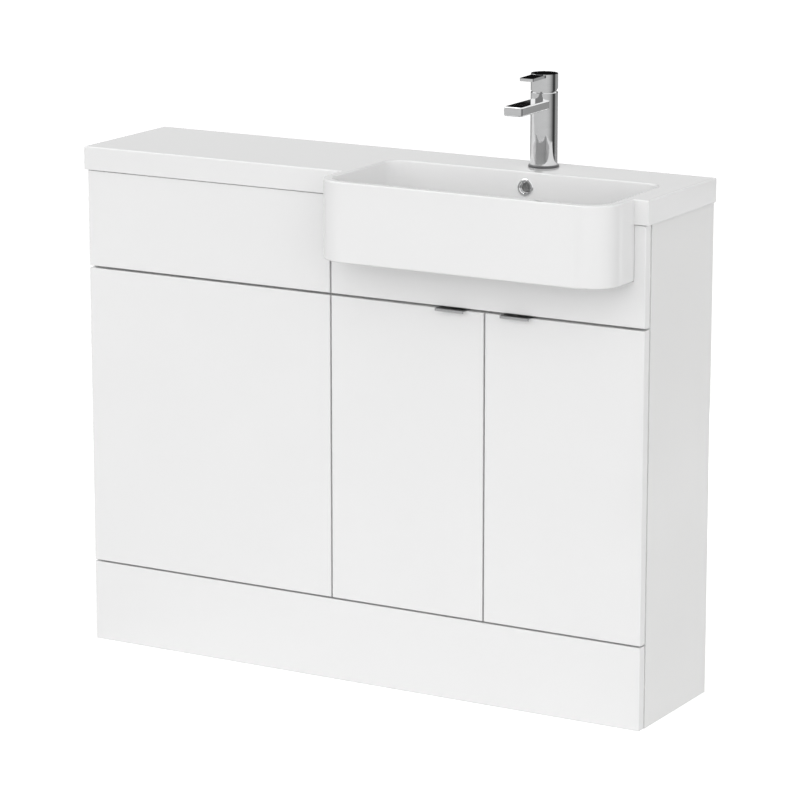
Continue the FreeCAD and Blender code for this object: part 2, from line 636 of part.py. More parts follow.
block_sketch = new_sketch(top, lift="-basin_height")
draw_rectangle(block_sketch, f"-{BASIN_WIDTH} / 2", "-basin_projection", BASIN_WIDTH,
               f"basin_projection + {BLOCK_BACK}")
pad(top, block_sketch, "basin_height")
boss_sketch = new_sketch(top, lift="-basin_height")
draw_rectangle(boss_sketch, "-overflow_boss", BLOCK_BACK, "2 * overflow_boss", "overflow_boss")
pad(top, boss_sketch, "basin_height - worktop_shell")

bowl_sketch = new_sketch(top)
draw_rectangle(bowl_sketch, f"basin_side_rim - {BASIN_WIDTH} / 2", "basin_rim - basin_projection",
               f"{BASIN_WIDTH} - 2 * basin_side_rim", "bowl_length")
pocket(top, bowl_sketch, "bowl_depth", taper="-bowl_taper")
bowl_front = number_of("basin_rim - basin_projection")
bowl_back = number_of(BOWL_BACK)
bowl_floor = -number_of("bowl_depth")


def bowl_corner(box):
    """True for the leaning edges where two walls of the bowl meet."""
    return near(box.ZMin, bowl_floor) and near(box.ZMax, 0)


bowl_middle = (bowl_front + bowl_back) / 2
round_edges(top, lambda box: bowl_corner(box) and box.YMax < bowl_middle, "bowl_front_corner")
round_edges(top, lambda box: bowl_corner(box) and box.YMin > bowl_middle, "bowl_back_corner")
round_edges(top, lambda box: level_at(box, bowl_floor), "bowl_floor_radius")
basin_front = -number_of("basin_projection")
basin_low = -number_of("basin_height")
round_edges(top, lambda box: upright(box) and near(box.YMin, basin_front), "basin_corner")
slab_front = -number_of("front_overhang")
round_edges(top, lambda box: level_at(box, basin_low) and box.YMin < slab_front, "basin_under_radius")
round_edges(top, lambda box: level_at(box, 0), "worktop_radius")

tap_hole = new_sketch(top)
draw_circle(tap_hole, "0", TAP_BACK, "tap_hole")
pocket(top, tap_hole, "worktop_thickness")
waste_hole = new_sketch(top)
draw_circle(waste_hole, "0", WASTE_BACK, "waste_hole")
pocket(top, waste_hole, "basin_height")

# The overflow: a hole in the bowl's back wall, an upright duct in the boss and an outlet to the waste hole
OVERFLOW_WALL = f"({BOWL_BACK} - overflow_drop * tan(bowl_taper))"
DUCT_BACK = f"({BLOCK_BACK} + overflow_boss - overflow_duct - basin_wall / 2)"
DUCT_LOW = "(-(bowl_depth + basin_height) / 2)"


def overflow_bore(radius, x_turn, y, z, length):
    """A closed round duct in the moulding, upright or turned to run to the wall."""
    bore = top.newObject("PartDesign::SubtractiveCylinder", "worktop_basin_duct")
    bind(bore, "Radius", radius)
    bind(bore, "Height", length)
    bore.Placement = FreeCAD.Placement(FreeCAD.Vector(), FreeCAD.Rotation(FreeCAD.Vector(1, 0, 0), x_turn))
    place(bore, "0", y, z)
    doc.recompute()


overflow_bore("overflow_hole", -90, f"{BOWL_BACK} - basin_wall", "-overflow_drop",
              f"{DUCT_BACK} - {BOWL_BACK} + basin_wall")
overflow_bore("overflow_duct", 0, DUCT_BACK, DUCT_LOW, f"-overflow_drop - {DUCT_LOW}")
overflow_bore("overflow_outlet", -90, WASTE_BACK, DUCT_LOW, f"{DUCT_BACK} - {WASTE_BACK}")
place(top, MIDDLE, FRONT, TOP)
nodes.append(top)

ring = new_body("overflow_ring")
ring_sketch = new_sketch(ring, "XZ_Plane")
draw_outline(ring_sketch, [("overflow_ring_hole", "-overflow_sleeve"),
                           ("overflow_ring_hole + trim_wall", "-overflow_sleeve"),
                           ("overflow_ring_hole + trim_wall", "0"),
                           ("overflow_ring_radius", "0"),
                           ("overflow_ring_radius", "overflow_ring_height / 2"),
                           ("overflow_ring_radius - overflow_ring_height / 2", "overflow_ring_height"),
                           ("overflow_ring_hole + trim_wall", "overflow_ring_height"),
                           ("overflow_ring_hole", "overflow_ring_height / 2")])
revolve(ring, ring_sketch)
ring.Placement = FreeCAD.Placement(FreeCAD.Vector(), FreeCAD.Rotation(FreeCAD.Vector(1, 0, 0), 90))
bind(ring, "Placement.Rotation.Angle", "90 - bowl_taper")
place(ring, MIDDLE, f"{FRONT} + {OVERFLOW_WALL}", f"{TOP} - overflow_drop")
nodes.append(ring)


# Waste and trap, in a frame on the waste's axis at the bowl's floor

def on_waste(body):
    place(body, MIDDLE, f"{FRONT} + {WASTE_BACK}", f"{TOP} - bowl_depth")
    nodes.append(body)


def turned(name, corners):
    """A body turned about its upright axis from an outline of radius and height."""
    body = new_body(name)
    profile = new_sketch(body, "XZ_Plane")
    draw_outline(profile, corners)
    revolve(body, profile)
    return body


FLOOR = "(basin_height - bowl_depth)"
waste = turned("waste_body", [("waste_bore", "-waste_length"), ("waste_tube", "-waste_length"),
                              ("waste_tube", "0"), ("waste_flange", "0"),
                              ("waste_flange", "waste_flange_height / 2"),
                              ("waste_flange - waste_flange_height", "waste_flange_height"),
                              ("waste_bore", "waste_flange_height")])
slot_sketch = new_sketch(waste, "XZ_Plane", "waste_flange")
draw_rectangle(slot_sketch, "-waste_slot / 2", f"-{FLOOR} + overflow_outlet", "waste_slot",
               f"{FLOOR} - 2 * overflow_outlet")
pocket(waste, slot_sketch, "2 * waste_flange")
SPIDER = "(waste_flange_height + plug_height - stem_length)"
web_sketch = new_sketch(waste, lift=SPIDER)
draw_rectangle(web_sketch, "-waste_bore - trim_wall", "-stem_radius / 2",
               "2 * waste_bore + 2 * trim_wall", "stem_radius")
pad(waste, web_sketch, "spider_height")
guide_sketch = new_sketch(waste, lift=SPIDER)
draw_circle(guide_sketch, "0", "0", "spider_boss")
pad(waste, guide_sketch, "spider_height")
stem_hole = new_sketch(waste, lift=f"{SPIDER} + spider_height")
draw_circle(stem_hole, "0", "0", "stem_radius + running_gap")
pocket(waste, stem_hole, "spider_height")
on_waste(waste)

PLUG_SEAT = "(waste_flange_height + running_gap)"
on_waste(turned("waste_plug", [("0", f"{PLUG_SEAT} + plug_height - stem_length - spider_height"),
                               ("stem_radius", f"{PLUG_SEAT} + plug_height - stem_length - spider_height"),
                               ("stem_radius", PLUG_SEAT), ("plug_radius", PLUG_SEAT),
                               ("plug_radius", f"{PLUG_SEAT} + plug_height / 3"),
                               ("plug_radius - plug_height / 2", f"{PLUG_SEAT} + 2 * plug_height / 3"),
                               ("0", f"{PLUG_SEAT} + plug_height")]))
SEAL_LOW = f"(-{FLOOR} - seal_height)"
on_waste(turned("waste_seal", [("waste_tube", SEAL_LOW), ("seal_radius", SEAL_LOW),
                               ("seal_radius", f"-{FLOOR}"), ("waste_tube", f"-{FLOOR}")]))
backnut = new_body("waste_backnut")
backnut_sketch = new_sketch(backnut, lift=f"{SEAL_LOW} - backnut_height")
draw_hexagon(backnut_sketch, "backnut_flat")
draw_circle(backnut_sketch, "0", "0", "waste_tube")
pad(backnut, backnut_sketch, "backnut_height")
on_waste(backnut)

on_waste(turned("trap_inlet_nut", [("waste_tube", "-waste_length"), ("trap_nut_radius", "-waste_length"),
                                   ("trap_nut_radius", "-waste_length + trap_nut_height - trap_wall"),
                                   ("trap_nut_radius - trap_wall", "-waste_length + trap_nut_height"),
                                   ("waste_tube", "-waste_length + trap_nut_height")]))
TRAP_LOW = "(-waste_length - trap_height)"
trap = turned("trap_body", [("trap_radius - trap_wall", f"{TRAP_LOW}"), ("cup_radius", f"{TRAP_LOW}"),
                            ("cup_radius", f"{TRAP_LOW} + trap_wall"),
                            ("trap_radius", f"{TRAP_LOW} + 2 * trap_wall"),
                            ("trap_radius", "-waste_length"), ("waste_bore", "-waste_length"),
                            ("waste_bore", "-waste_length - trap_wall"),
                            ("trap_radius - trap_wall", "-waste_length - 2 * trap_wall")])
outlet_sketch = new_sketch(trap, "XZ_Plane", "-outlet_length")
draw_circle(outlet_sketch, "0", "-waste_length - trap_height / 2", "pipe_radius")
pad(trap, outlet_sketch, "outlet_length - trap_radius + 2 * trap_wall")
bore_sketch = new_sketch(trap, "XZ_Plane", "-outlet_length")
draw_circle(bore_sketch, "0", "-waste_length - trap_height / 2", "pipe_radius - pipe_wall")
pocket(trap, bore_sketch, "outlet_length - waste_bore / 2", backwards=True)
on_waste(trap)
CUP_LOW = f"({TRAP_LOW} - cup_height)"
trap_cup = turned("trap_cup", [("0", CUP_LOW), ("cup_radius", CUP_LOW), ("cup_radius", TRAP_LOW),
                               ("cup_radius - trap_wall", TRAP_LOW),
                               ("cup_radius - trap_wall", f"{CUP_LOW} + cup_bottom_radius"),
                               ("0", f"{CUP_LOW} + cup_bottom_radius")])
cup_low = number_of(CUP_LOW)
round_edges(trap_cup, lambda box: level_at(box, cup_low), "cup_bottom_radius - trap_wall")
on_waste(trap_cup)


def along_outlet(name, outer, inner, start, length):
    """A tube on the trap's outlet axis, from start to start plus length behind the trap's axis."""
    body = new_body(name)
    profile = new_sketch(body, "XZ_Plane", f"-({start})")
    draw_circle(profile, "0", "-waste_length - trap_height / 2", outer)
    draw_circle(profile, "0", "-waste_length - trap_height / 2", inner)
    pad(body, profile, length, backwards=True)
    on_waste(body)
    return body


along_outlet("trap_outlet_nut", "outlet_nut_radius", "pipe_radius", "outlet_length - outlet_nut_length / 2",
             "outlet_nut_length")
pipe = along_outlet("waste_pipe", "pipe_radius", "pipe_radius - pipe_wall", "outlet_length",
                    f"unit_depth - {WASTE_BACK} - outlet_length")
mark = new_sketch(pipe, "XZ_Plane", f"-(unit_depth - {WASTE_BACK} - pipe_push_fit - pipe_mark_width)")
for radius in ("pipe_radius + pipe_wall", "pipe_radius - pipe_mark_depth"):
    draw_circle(mark, "0", "-waste_length - trap_height / 2", radius)
pocket(pipe, mark, "pipe_mark_width")


# Tap, in a frame on the tap's axis at the worktop's surface

def on_tap(body):
    place(body, MIDDLE, f"{FRONT} + {TAP_BACK}", TOP)
    nodes.append(body)


def drill_up(body, x, y, radius, start, depth):
    """A hole drilled upwards into a body from the height start."""
    sketch = new_sketch(body, lift=start)
    draw_circle(sketch, x, y, radius)
    pocket(body, sketch, depth, backwards=True)


on_tap(turned("tap_base_ring", [("tap_spigot_radius", "0"), ("tap_ring_radius", "0"),
                                ("tap_ring_radius", "2 * tap_ring_height / 3"),
                                ("tap_ring_radius - tap_ring_height / 3", "tap_ring_height"),
                                ("tap_spigot_radius", "tap_ring_height")]))

CARTRIDGE_FOOT = f"({SEAM} - cartridge_nut - cartridge_height)"
tap = turned("tap_body", [("0", "-tap_spigot_length"), ("tap_spigot_radius", "-tap_spigot_length"),
                          ("tap_spigot_radius", "tap_ring_height"), ("tap_radius", "tap_ring_height"),
                          ("tap_radius", SEAM), ("0", SEAM)])
SPOUT_LOW = f"({SEAM} - spout_below_seam - spout_thickness)"
spout_sketch = new_sketch(tap, "XZ_Plane")
draw_rectangle(spout_sketch, "-spout_width / 2", SPOUT_LOW, "spout_width", "spout_thickness")
pad(tap, spout_sketch, "spout_reach")
spout_tip = -number_of("spout_reach")
round_edges(tap, lambda box: upright(box) and near(box.YMin, spout_tip), "spout_corner")
spout_low = number_of(SPOUT_LOW)
spout_high = number_of("spout_thickness") + spout_low


def spout_edge(box):
    """True for the long edges of the spout and for those round its tip."""
    level = near(box.ZMin, box.ZMax) and (near(box.ZMin, spout_low) or near(box.ZMin, spout_high))
    return level and box.YMin < spout_tip / 2


round_edges(tap, spout_edge, "spout_radius")
cavity = new_sketch(tap, lift=SEAM)
draw_circle(cavity, "0", "0", "cartridge_radius")
pocket(tap, cavity, "cartridge_nut + cartridge_height")
AERATOR_BACK = "(aerator_inset - spout_reach)"
drill_up(tap, "0", AERATOR_BACK, "aerator_radius", SPOUT_LOW, "aerator_height")
drill_up(tap, "0", "0", "tap_recess_radius", "-tap_spigot_length", "tap_spigot_length + tap_recess_height")
for side in ("inlet_offset", "-inlet_offset"):
    drill_up(tap, side, "0", "inlet_radius", "tap_recess_height", "inlet_depth")
drill_up(tap, "0", "-stud_offset", "stud_radius", "tap_recess_height", "stud_grip")
on_tap(tap)

aerator = new_body("tap_aerator")
aerator_sketch = new_sketch(aerator, lift=SPOUT_LOW)
draw_circle(aerator_sketch, "0", AERATOR_BACK, "aerator_radius")
pad(aerator, aerator_sketch, "aerator_height")
drill_up(aerator, "0", AERATOR_BACK, "aerator_radius - 2 * trim_wall", SPOUT_LOW, "aerator_height / 4")
on_tap(aerator)

cartridge = new_body("tap_cartridge")
cartridge_sketch = new_sketch(cartridge, lift=CARTRIDGE_FOOT)
draw_circle(cartridge_sketch, "0", "0", "cartridge_radius")
pad(cartridge, cartridge_sketch, "cartridge_height")
recess_sketch = new_sketch(cartridge, lift=f"{CARTRIDGE_FOOT} + cartridge_height")
draw_circle(recess_sketch, "0", "0", "driver_recess")
pocket(cartridge, recess_sketch, "driver_height")
on_tap(cartridge)

NUT_BORE = "(driver_recess - running_gap - trim_wall)"
on_tap(turned("tap_cartridge_nut", [(NUT_BORE, f"{SEAM} - cartridge_nut"),
                                    ("cartridge_radius", f"{SEAM} - cartridge_nut"),
                                    ("cartridge_radius", SEAM), ("tap_radius - seam_inset", SEAM),
                                    ("tap_radius - seam_inset", f"{SEAM} + tap_seam - seam_play"),
                                    (NUT_BORE, f"{SEAM} + tap_seam - seam_play")]))

driver = new_body("tap_driver")
DRIVER_FOOT = f"({SEAM} - cartridge_nut - driver_height)"
driver_sketch = new_sketch(driver, lift=DRIVER_FOOT)
draw_circle(driver_sketch, "0", "0", "driver_recess - running_gap")
pad(driver, driver_sketch, "driver_height - running_gap")
driver_slot = new_sketch(driver, lift=f"{DRIVER_FOOT} + driver_height")
draw_rectangle(driver_slot, "-spindle_width / 2 - running_gap", "-driver_recess",
               "spindle_width + 2 * running_gap", "2 * driver_recess")
pocket(driver, driver_slot, "driver_height - trim_wall")
driver_pin = new_sketch(driver, "YZ_Plane", "-spindle_width")
draw_circle(driver_pin, "0", TILT_AXIS, "tilt_pin")
pad(driver, driver_pin, "2 * spindle_width")
on_tap(driver)

spindle = new_body("tap_spindle")
SPINDLE_FOOT = f"({TILT_AXIS} - 2 * tilt_pin)"
spindle_sketch = new_sketch(spindle, lift=SPINDLE_FOOT)
draw_rectangle(spindle_sketch, "-spindle_width / 2", "-spindle_width / 2", "spindle_width", "spindle_width")
pad(spindle, spindle_sketch, f"{SEAM} + spindle_top - {SPINDLE_FOOT}")
spindle_bore = new_sketch(spindle, "YZ_Plane", "spindle_width / 2")
draw_circle(spindle_bore, "0", TILT_AXIS, "tilt_pin + hinge_play")
pocket(spindle, spindle_bore, "spindle_width")
on_tap(spindle)

handle = new_body("tap_handle")
HEAD_FOOT = f"({SEAM} + tap_seam)"
head_sketch = new_sketch(handle, lift=HEAD_FOOT)
draw_circle(head_sketch, "0", "0", "tap_radius")
pad(handle, head_sketch, "tap_head")
lever_sketch = new_sketch(handle, "YZ_Plane", "-lever_width / 2")
draw_outline(lever_sketch, [("0", "tap_height"), ("-lever_length", "tap_height - lever_fall"),
                            ("-lever_length", "tap_height - lever_fall - lever_thickness"),
                            ("0", "tap_height - lever_thickness")])
pad(handle, lever_sketch, "lever_width")
lever_tip = -number_of("lever_length")
round_edges(handle, lambda box: upright(box) and near(box.YMin, lever_tip), "lever_corner")
RELIEF_BACK = "(2 * tap_radius)"
RELIEF_TOP = f"({HEAD_FOOT} + ({RELIEF_BACK} + lever_relief) * tan(lever_tilt))"
relief_sketch = new_sketch(handle, "YZ_Plane", "tap_radius")
draw_outline(relief_sketch, [("-lever_relief", HEAD_FOOT), (RELIEF_BACK, HEAD_FOOT),
                             (RELIEF_BACK, RELIEF_TOP)])
pocket(handle, relief_sketch, "2 * tap_radius")
socket_sketch = new_sketch(handle, lift=HEAD_FOOT)
draw_rectangle(socket_sketch, "-spindle_width / 2", "-spindle_width / 2", "spindle_width", "spindle_width")
pocket(handle, socket_sketch, "spindle_top - tap_seam", backwards=True)
on_tap(handle)

stud = new_body("tap_stud")
stud_sketch = new_sketch(stud, lift="-stud_length")
draw_circle(stud_sketch, "0", "-stud_offset", "stud_radius")
pad(stud, stud_sketch, "stud_length + tap_recess_height + stud_grip")
on_tap(stud)

INLET_ROOM = "(inlet_radius + inlet_clearance)"


def horseshoe(name, thickness, above):
    """A plate under the worktop round the stud, open at the back for the tap's inlets."""
    body = new_body(name)
    plate = new_sketch(body, lift=f"-worktop_shell - {above} - {thickness}")
    draw_circle(plate, "0", "0", "clamp_radius")
    pad(body, plate, thickness)
    mouth = new_sketch(body, lift=f"-worktop_shell - {above}")
    draw_rectangle(mouth, f"-inlet_offset - {INLET_ROOM}", f"-{INLET_ROOM}",
                   f"2 * inlet_offset + 2 * {INLET_ROOM}", "2 * clamp_radius")
    pocket(body, mouth, thickness)
    hole = new_sketch(body, lift=f"-worktop_shell - {above}")
    draw_circle(hole, "0", "-stud_offset", "stud_radius")
    pocket(body, hole, thickness)
    on_tap(body)


horseshoe("tap_seal", "clamp_seal", "0")
horseshoe("tap_clamp_plate", "clamp_plate", "clamp_seal")
stud_nut = new_body("tap_stud_nut")
nut_sketch = new_sketch(stud_nut)
draw_hexagon(nut_sketch, "stud_nut_flat")
draw_circle(nut_sketch, "0", "0", "stud_radius")
pad(stud_nut, nut_sketch, "stud_nut")
place(stud_nut, MIDDLE, f"{FRONT} + {TAP_BACK} - stud_offset",
      f"{TOP} - worktop_shell - clamp_seal - clamp_plate - stud_nut")
nodes.append(stud_nut)


# Doors, finger pulls and buffers; the right door's pieces mirror the left door's
door = front_board("left_door", DOOR_WIDTH, DOOR_HEIGHT, DOOR_EDGE, DOOR_BOTTOM)
CUP_ACROSS = "(hinge_cup_edge + hinge_cup)"
hinge_heights = ("hinge_inset", f"{DOOR_HEIGHT} - hinge_inset")
holes_from_back(door, [(CUP_ACROSS, z) for z in hinge_heights], "hinge_cup", "hinge_cup_depth")
PULL_LEFT = f"({DOOR_WIDTH} - handle_from_gap - handle_length)"
screw_columns = (f"{PULL_LEFT} + handle_screw_inset", f"{PULL_LEFT} + handle_length - handle_screw_inset")
SCREW_HEIGHT = f"({DOOR_HEIGHT} - handle_screw_drop)"
holes_from_back(door, [(x, SCREW_HEIGHT) for x in screw_columns], "handle_screw", "handle_screw_length")

pull = new_body("left_door_handle")
pull_profile = new_sketch(pull, "YZ_Plane")
LEG_BACK = "(front_thickness + handle_thickness)"
draw_outline(pull_profile, [("front_thickness", "-handle_leg"), (LEG_BACK, "-handle_leg"),
                            (LEG_BACK, "handle_thickness"), ("-handle_reach", "handle_thickness"),
                            ("-handle_reach", "-handle_lip"),
                            ("handle_thickness - handle_reach", "-handle_lip"),
                            ("handle_thickness - handle_reach", "0"), ("front_thickness", "0")])
pad(pull, pull_profile, "handle_length")
pull_front = -number_of("handle_reach")
pull_top = number_of("handle_thickness")
round_edges(pull, lambda box: near(box.YMax, pull_front) and level_at(box, pull_top), "handle_thickness / 2")
pull_holes = new_sketch(pull, "XZ_Plane", f"-{LEG_BACK}")
for inset in ("handle_screw_inset", "handle_length - handle_screw_inset"):
    draw_circle(pull_holes, inset, "-handle_screw_drop", "handle_screw")
pocket(pull, pull_holes, "handle_thickness", backwards=True)
place(pull, f"{DOOR_EDGE} + {PULL_LEFT}", FRONT, DOOR_TOP)

screw = new_body("handle_screw")
screw_sketch = new_sketch(screw, "XZ_Plane")
draw_circle(screw_sketch, "0", "0", "handle_screw")
pad(screw, screw_sketch, "handle_screw_length + handle_thickness")
screw_spots = []
for x in screw_columns:
    screw_spots.append((f"{DOOR_EDGE} + {x}", f"{FRONT} + {LEG_BACK}", f"{DOOR_TOP} - handle_screw_drop"))
screws = copies("left_handle_screws", screw, screw_spots)

buffer_pad = new_body("door_buffer")
buffer_sketch = new_sketch(buffer_pad, "XZ_Plane")
draw_circle(buffer_sketch, "0", "0", "buffer_radius")
pad(buffer_pad, buffer_sketch, "seat_gap - running_gap", backwards=True)
buffer_spots = []
for z in (f"{DOOR_BOTTOM} + buffer_drop", f"{DOOR_TOP} - buffer_drop"):
    buffer_spots.append((f"{DOOR_EDGE} + {DOOR_WIDTH} - buffer_inset", f"{FRONT} + front_thickness", z))
buffers = copies("left_door_buffers", buffer_pad, buffer_spots)

# Concealed hinges, in a frame at the door's hinge edge, the door's face and the hinge's middle
hinge_spots = [(DOOR_EDGE, FRONT, LOW_HINGE), (DOOR_EDGE, FRONT, HIGH_HINGE)]
CUP_PIN_BACK = "(front_thickness - cup_pin_deep)"
ARM_PIN_BACK = "(front_thickness + seat_gap + arm_pin_deep)"

hinge_cup = new_body("hinge_cup")
shell_sketch = new_sketch(hinge_cup, "XZ_Plane", "hinge_cup_depth - front_thickness")
draw_circle(shell_sketch, CUP_ACROSS, "0", "hinge_cup")
pad(hinge_cup, shell_sketch, "hinge_cup_depth", backwards=True)
flange_sketch = new_sketch(hinge_cup, "XZ_Plane", "-front_thickness")
draw_rectangle(flange_sketch, f"{CUP_ACROSS} - hinge_flange_width / 2", "-hinge_flange_length / 2",
               "hinge_flange_width", "hinge_flange_length")
pad(hinge_cup, flange_sketch, "hinge_sheet", backwards=True)
cup_hollow = new_sketch(hinge_cup, "XZ_Plane", "-front_thickness - hinge_sheet")
draw_circle(cup_hollow, CUP_ACROSS, "0", "hinge_cup - hinge_sheet")
pocket(hinge_cup, cup_hollow, "hinge_cup_depth", backwards=True)
PIN_CHORD = f"(sqrt(hinge_cup ^ 2 - ({CUP_ACROSS} - cup_pin_across + hinge_pin) ^ 2) - hinge_sheet / 2)"
cup_pin = new_sketch(hinge_cup, lift=f"-{PIN_CHORD}")
draw_circle(cup_pin, "cup_pin_across", CUP_PIN_BACK, "hinge_pin")
pad(hinge_cup, cup_pin, f"2 * {PIN_CHORD}")
cups = copies("left_hinge_cups", hinge_cup, hinge_spots)

# The link is bowed, so that it lies in the cup when the door is shut and clears the door's edge when open
CHORD_ACROSS = "(arm_pin_across - cup_pin_across)"
CHORD_BACK = f"({ARM_PIN_BACK} - {CUP_PIN_BACK})"
HALF_CHORD = f"(sqrt({CHORD_ACROSS} ^ 2 + {CHORD_BACK} ^ 2) / 2)"
BOW_RADIUS = f"(({HALF_CHORD} ^ 2 + link_bow ^ 2) / (2 * link_bow))"
link = new_body("hinge_link")
bow_sketch = new_sketch(link, lift="-link_width / 2")
for side in ("+", "-"):
    draw_circle(bow_sketch, "0", f"{BOW_RADIUS} - link_bow", f"{BOW_RADIUS} {side} link_thickness / 2")
pad(link, bow_sketch, "link_width")
open_side = new_sketch(link, lift="link_width / 2")
draw_rectangle(open_side, f"-2 * {BOW_RADIUS}", "0", f"4 * {BOW_RADIUS}", f"3 * {BOW_RADIUS}")
pocket(link, open_side, "link_width")
eye_sketch = new_sketch(link, lift="-link_width / 2")
eye_holes = new_sketch(link, lift="link_width / 2")
for x in (HALF_CHORD, f"-{HALF_CHORD}"):
    draw_circle(eye_sketch, x, "0", "hinge_eye")
    draw_circle(eye_holes, x, "0", "hinge_pin + hinge_play")
pad(link, eye_sketch, "link_width")
pocket(link, eye_holes, "link_width")
link.Placement = FreeCAD.Placement(FreeCAD.Vector(), FreeCAD.Rotation(FreeCAD.Vector(0, 0, 1), 30))
bind(link, "Placement.Rotation.Angle", f"atan({CHORD_BACK} / {CHORD_ACROSS})")
place(link, "(arm_pin_across + cup_pin_across) / 2", f"({ARM_PIN_BACK} + {CUP_PIN_BACK}) / 2", "0")
links = copies("left_hinge_links", link, hinge_spots)

arm = new_body("hinge_arm")
SIDE_FACE = "(board - front_gap / 2)"
ARM_FOOT = f"({SIDE_FACE} + plate_height)"
CARCASS = "(front_thickness + seat_gap)"
arm_sketch = new_sketch(arm, lift="-arm_width / 2")
draw_outline(arm_sketch, [("arm_pin_across - arm_nose", ARM_PIN_BACK),
                          ("arm_pin_across + arm_nose", ARM_PIN_BACK),
                          ("arm_pin_across + arm_nose", f"{CARCASS} + arm_neck"),
                          ("arm_pin_across - arm_nose / 2", f"{CARCASS} + arm_length"),
                          (ARM_FOOT, f"{CARCASS} + arm_length"), (ARM_FOOT, f"{CARCASS} + plate_front"),
                          ("arm_pin_across - arm_nose", f"{CARCASS} + arm_neck")])
pad(arm, arm_sketch, "arm_width")
nose_sketch = new_sketch(arm, lift="-arm_width / 2")
draw_circle(nose_sketch, "arm_pin_across", ARM_PIN_BACK, "arm_nose")
pad(arm, nose_sketch, "arm_width")
arm_slot = new_sketch(arm, lift="link_width / 2 + running_gap")
draw_rectangle(arm_slot, "arm_pin_across - 2 * arm_nose", f"{ARM_PIN_BACK} - 2 * arm_nose",
               "4 * arm_nose", "2 * arm_nose + arm_slot")
pocket(arm, arm_slot, "link_width + 2 * running_gap")
arm_pin = new_sketch(arm, lift="-arm_width / 2")
draw_circle(arm_pin, "arm_pin_across", ARM_PIN_BACK, "hinge_pin")
pad(arm, arm_pin, "arm_width")
left_arms = copies("left_hinge_arms", arm, hinge_spots)

plate = new_body("hinge_plate")
plate_sketch = new_sketch(plate, "YZ_Plane", SIDE_FACE)
draw_rectangle(plate_sketch, f"{CARCASS} + plate_front", "-plate_width / 2", "plate_length", "plate_width")
pad(plate, plate_sketch, "plate_height")
round_edges(plate, lambda box: near(box.YMin, box.YMax) and near(box.ZMin, box.ZMax), "plate_corner")
left_plates = copies("left_hinge_plates", plate, hinge_spots)

nodes.append(group("hinge_arms", [left_arms, mirrored("right_hinge_arms", left_arms)]))
nodes.append(group("hinge_plates", [left_plates, mirrored("right_hinge_plates", left_plates)]))
for piece in (door, pull, screws, buffers, cups, links):
    nodes.append(piece)
    nodes.append(mirrored(piece.Label.replace("left", "right"), piece))


# Checks and files

doc.recompute()
for thing in doc.Objects:
    if {"Invalid", "Error"} & set(thing.State):
        raise RuntimeError(f"{thing.Label} failed: {thing.State}")
for node in nodes:
    if node.Shape.isNull() or not node.Shape.isValid() or not node.Shape.Solids:
        raise RuntimeError(f"{node.Label} has no valid solid")

os.makedirs("parts", exist_ok=True)
for node in nodes:
    node.Shape.exportStep(f"parts/{node.Label}.step")
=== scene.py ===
"""Finishes, small fittings and a studio for a combination vanity unit."""

import math

import bmesh
import bpy
from mathutils import Matrix, Vector


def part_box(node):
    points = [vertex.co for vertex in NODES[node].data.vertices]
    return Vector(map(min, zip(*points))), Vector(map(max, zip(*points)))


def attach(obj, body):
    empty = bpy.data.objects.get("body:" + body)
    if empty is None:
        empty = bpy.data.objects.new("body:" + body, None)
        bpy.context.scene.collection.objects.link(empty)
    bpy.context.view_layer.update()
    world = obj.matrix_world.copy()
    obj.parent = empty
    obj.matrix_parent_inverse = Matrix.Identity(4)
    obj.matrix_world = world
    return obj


bl_info = {
    "name": "Combination vanity unit",
    "version": (1, 0, 0),
    "blender": (4, 5, 0),
    "location": "View3D > Sidebar > Vanity unit",
    "description": "Finishes, small fittings and a studio for a combination vanity unit",
    "category": "Object",
}

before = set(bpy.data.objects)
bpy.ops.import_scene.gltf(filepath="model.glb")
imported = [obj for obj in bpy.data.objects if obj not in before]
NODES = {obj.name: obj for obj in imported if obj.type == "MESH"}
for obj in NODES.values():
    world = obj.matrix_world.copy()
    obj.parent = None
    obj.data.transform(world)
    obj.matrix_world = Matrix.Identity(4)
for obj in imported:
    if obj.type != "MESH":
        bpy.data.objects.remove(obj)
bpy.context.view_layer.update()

FRONTS = ("wc_upper_panel", "wc_lower_panel", "vanity_fascia", "plinth", "left_door", "right_door")
WC_BOARDS = ("wc_left_side", "wc_right_side", "wc_top_front_rail", "wc_middle_rail", "wc_bottom_rail",
             "wc_cistern_rail", "wc_top_back_rail")
VANITY_BOARDS = ("vanity_left_side", "vanity_right_side", "vanity_top_back_rail", "vanity_front_rail",
                 "vanity_base", "vanity_shelf", "vanity_back_panel")
TAP_CHROME = ("tap_body", "tap_handle", "tap_cartridge_nut")
TAP_BRASS = ("tap_spindle", "tap_stud_nut")
TAP_STEEL = ("tap_stud", "tap_clamp_plate")
TAP_PLASTIC = ("tap_aerator", "tap_cartridge", "tap_driver")
BASIN_CHROME = ("overflow_ring", "waste_body", "waste_plug")
TRAP_PLASTIC = ("trap_inlet_nut", "trap_body", "trap_cup", "trap_outlet_nut", "waste_pipe")
HINGE_STEEL = ("hinge_arms", "hinge_plates", "left_hinge_cups", "right_hinge_cups", "left_hinge_links",
               "right_hinge_links")
PULLS = ("left_door_handle", "right_door_handle")
SCREWS = ("left_handle_screws", "right_handle_screws", "unit_connecting_bolts", "shelf_pins")

TO_FRONT = (0.0, -1.0, 0.0)
TO_BACK = (0.0, 1.0, 0.0)
DOWN = (0.0, 0.0, -1.0)

# Rings of the flow straightener, as shares of the radius of the aerator's mouth, and its spokes.
STRAIGHTENER_RINGS = (0.25, 0.55, 0.85)
STRAIGHTENER_SPOKES = 12

# Places of the hinge screws, as shares of a cup's flange, of a mounting plate and of an arm's slope.
CUP_SCREWS = (0.1, 0.9)
PLATE_SCREWS = (0.14, 0.86)
ARM_SCREWS = (0.28, 0.74)

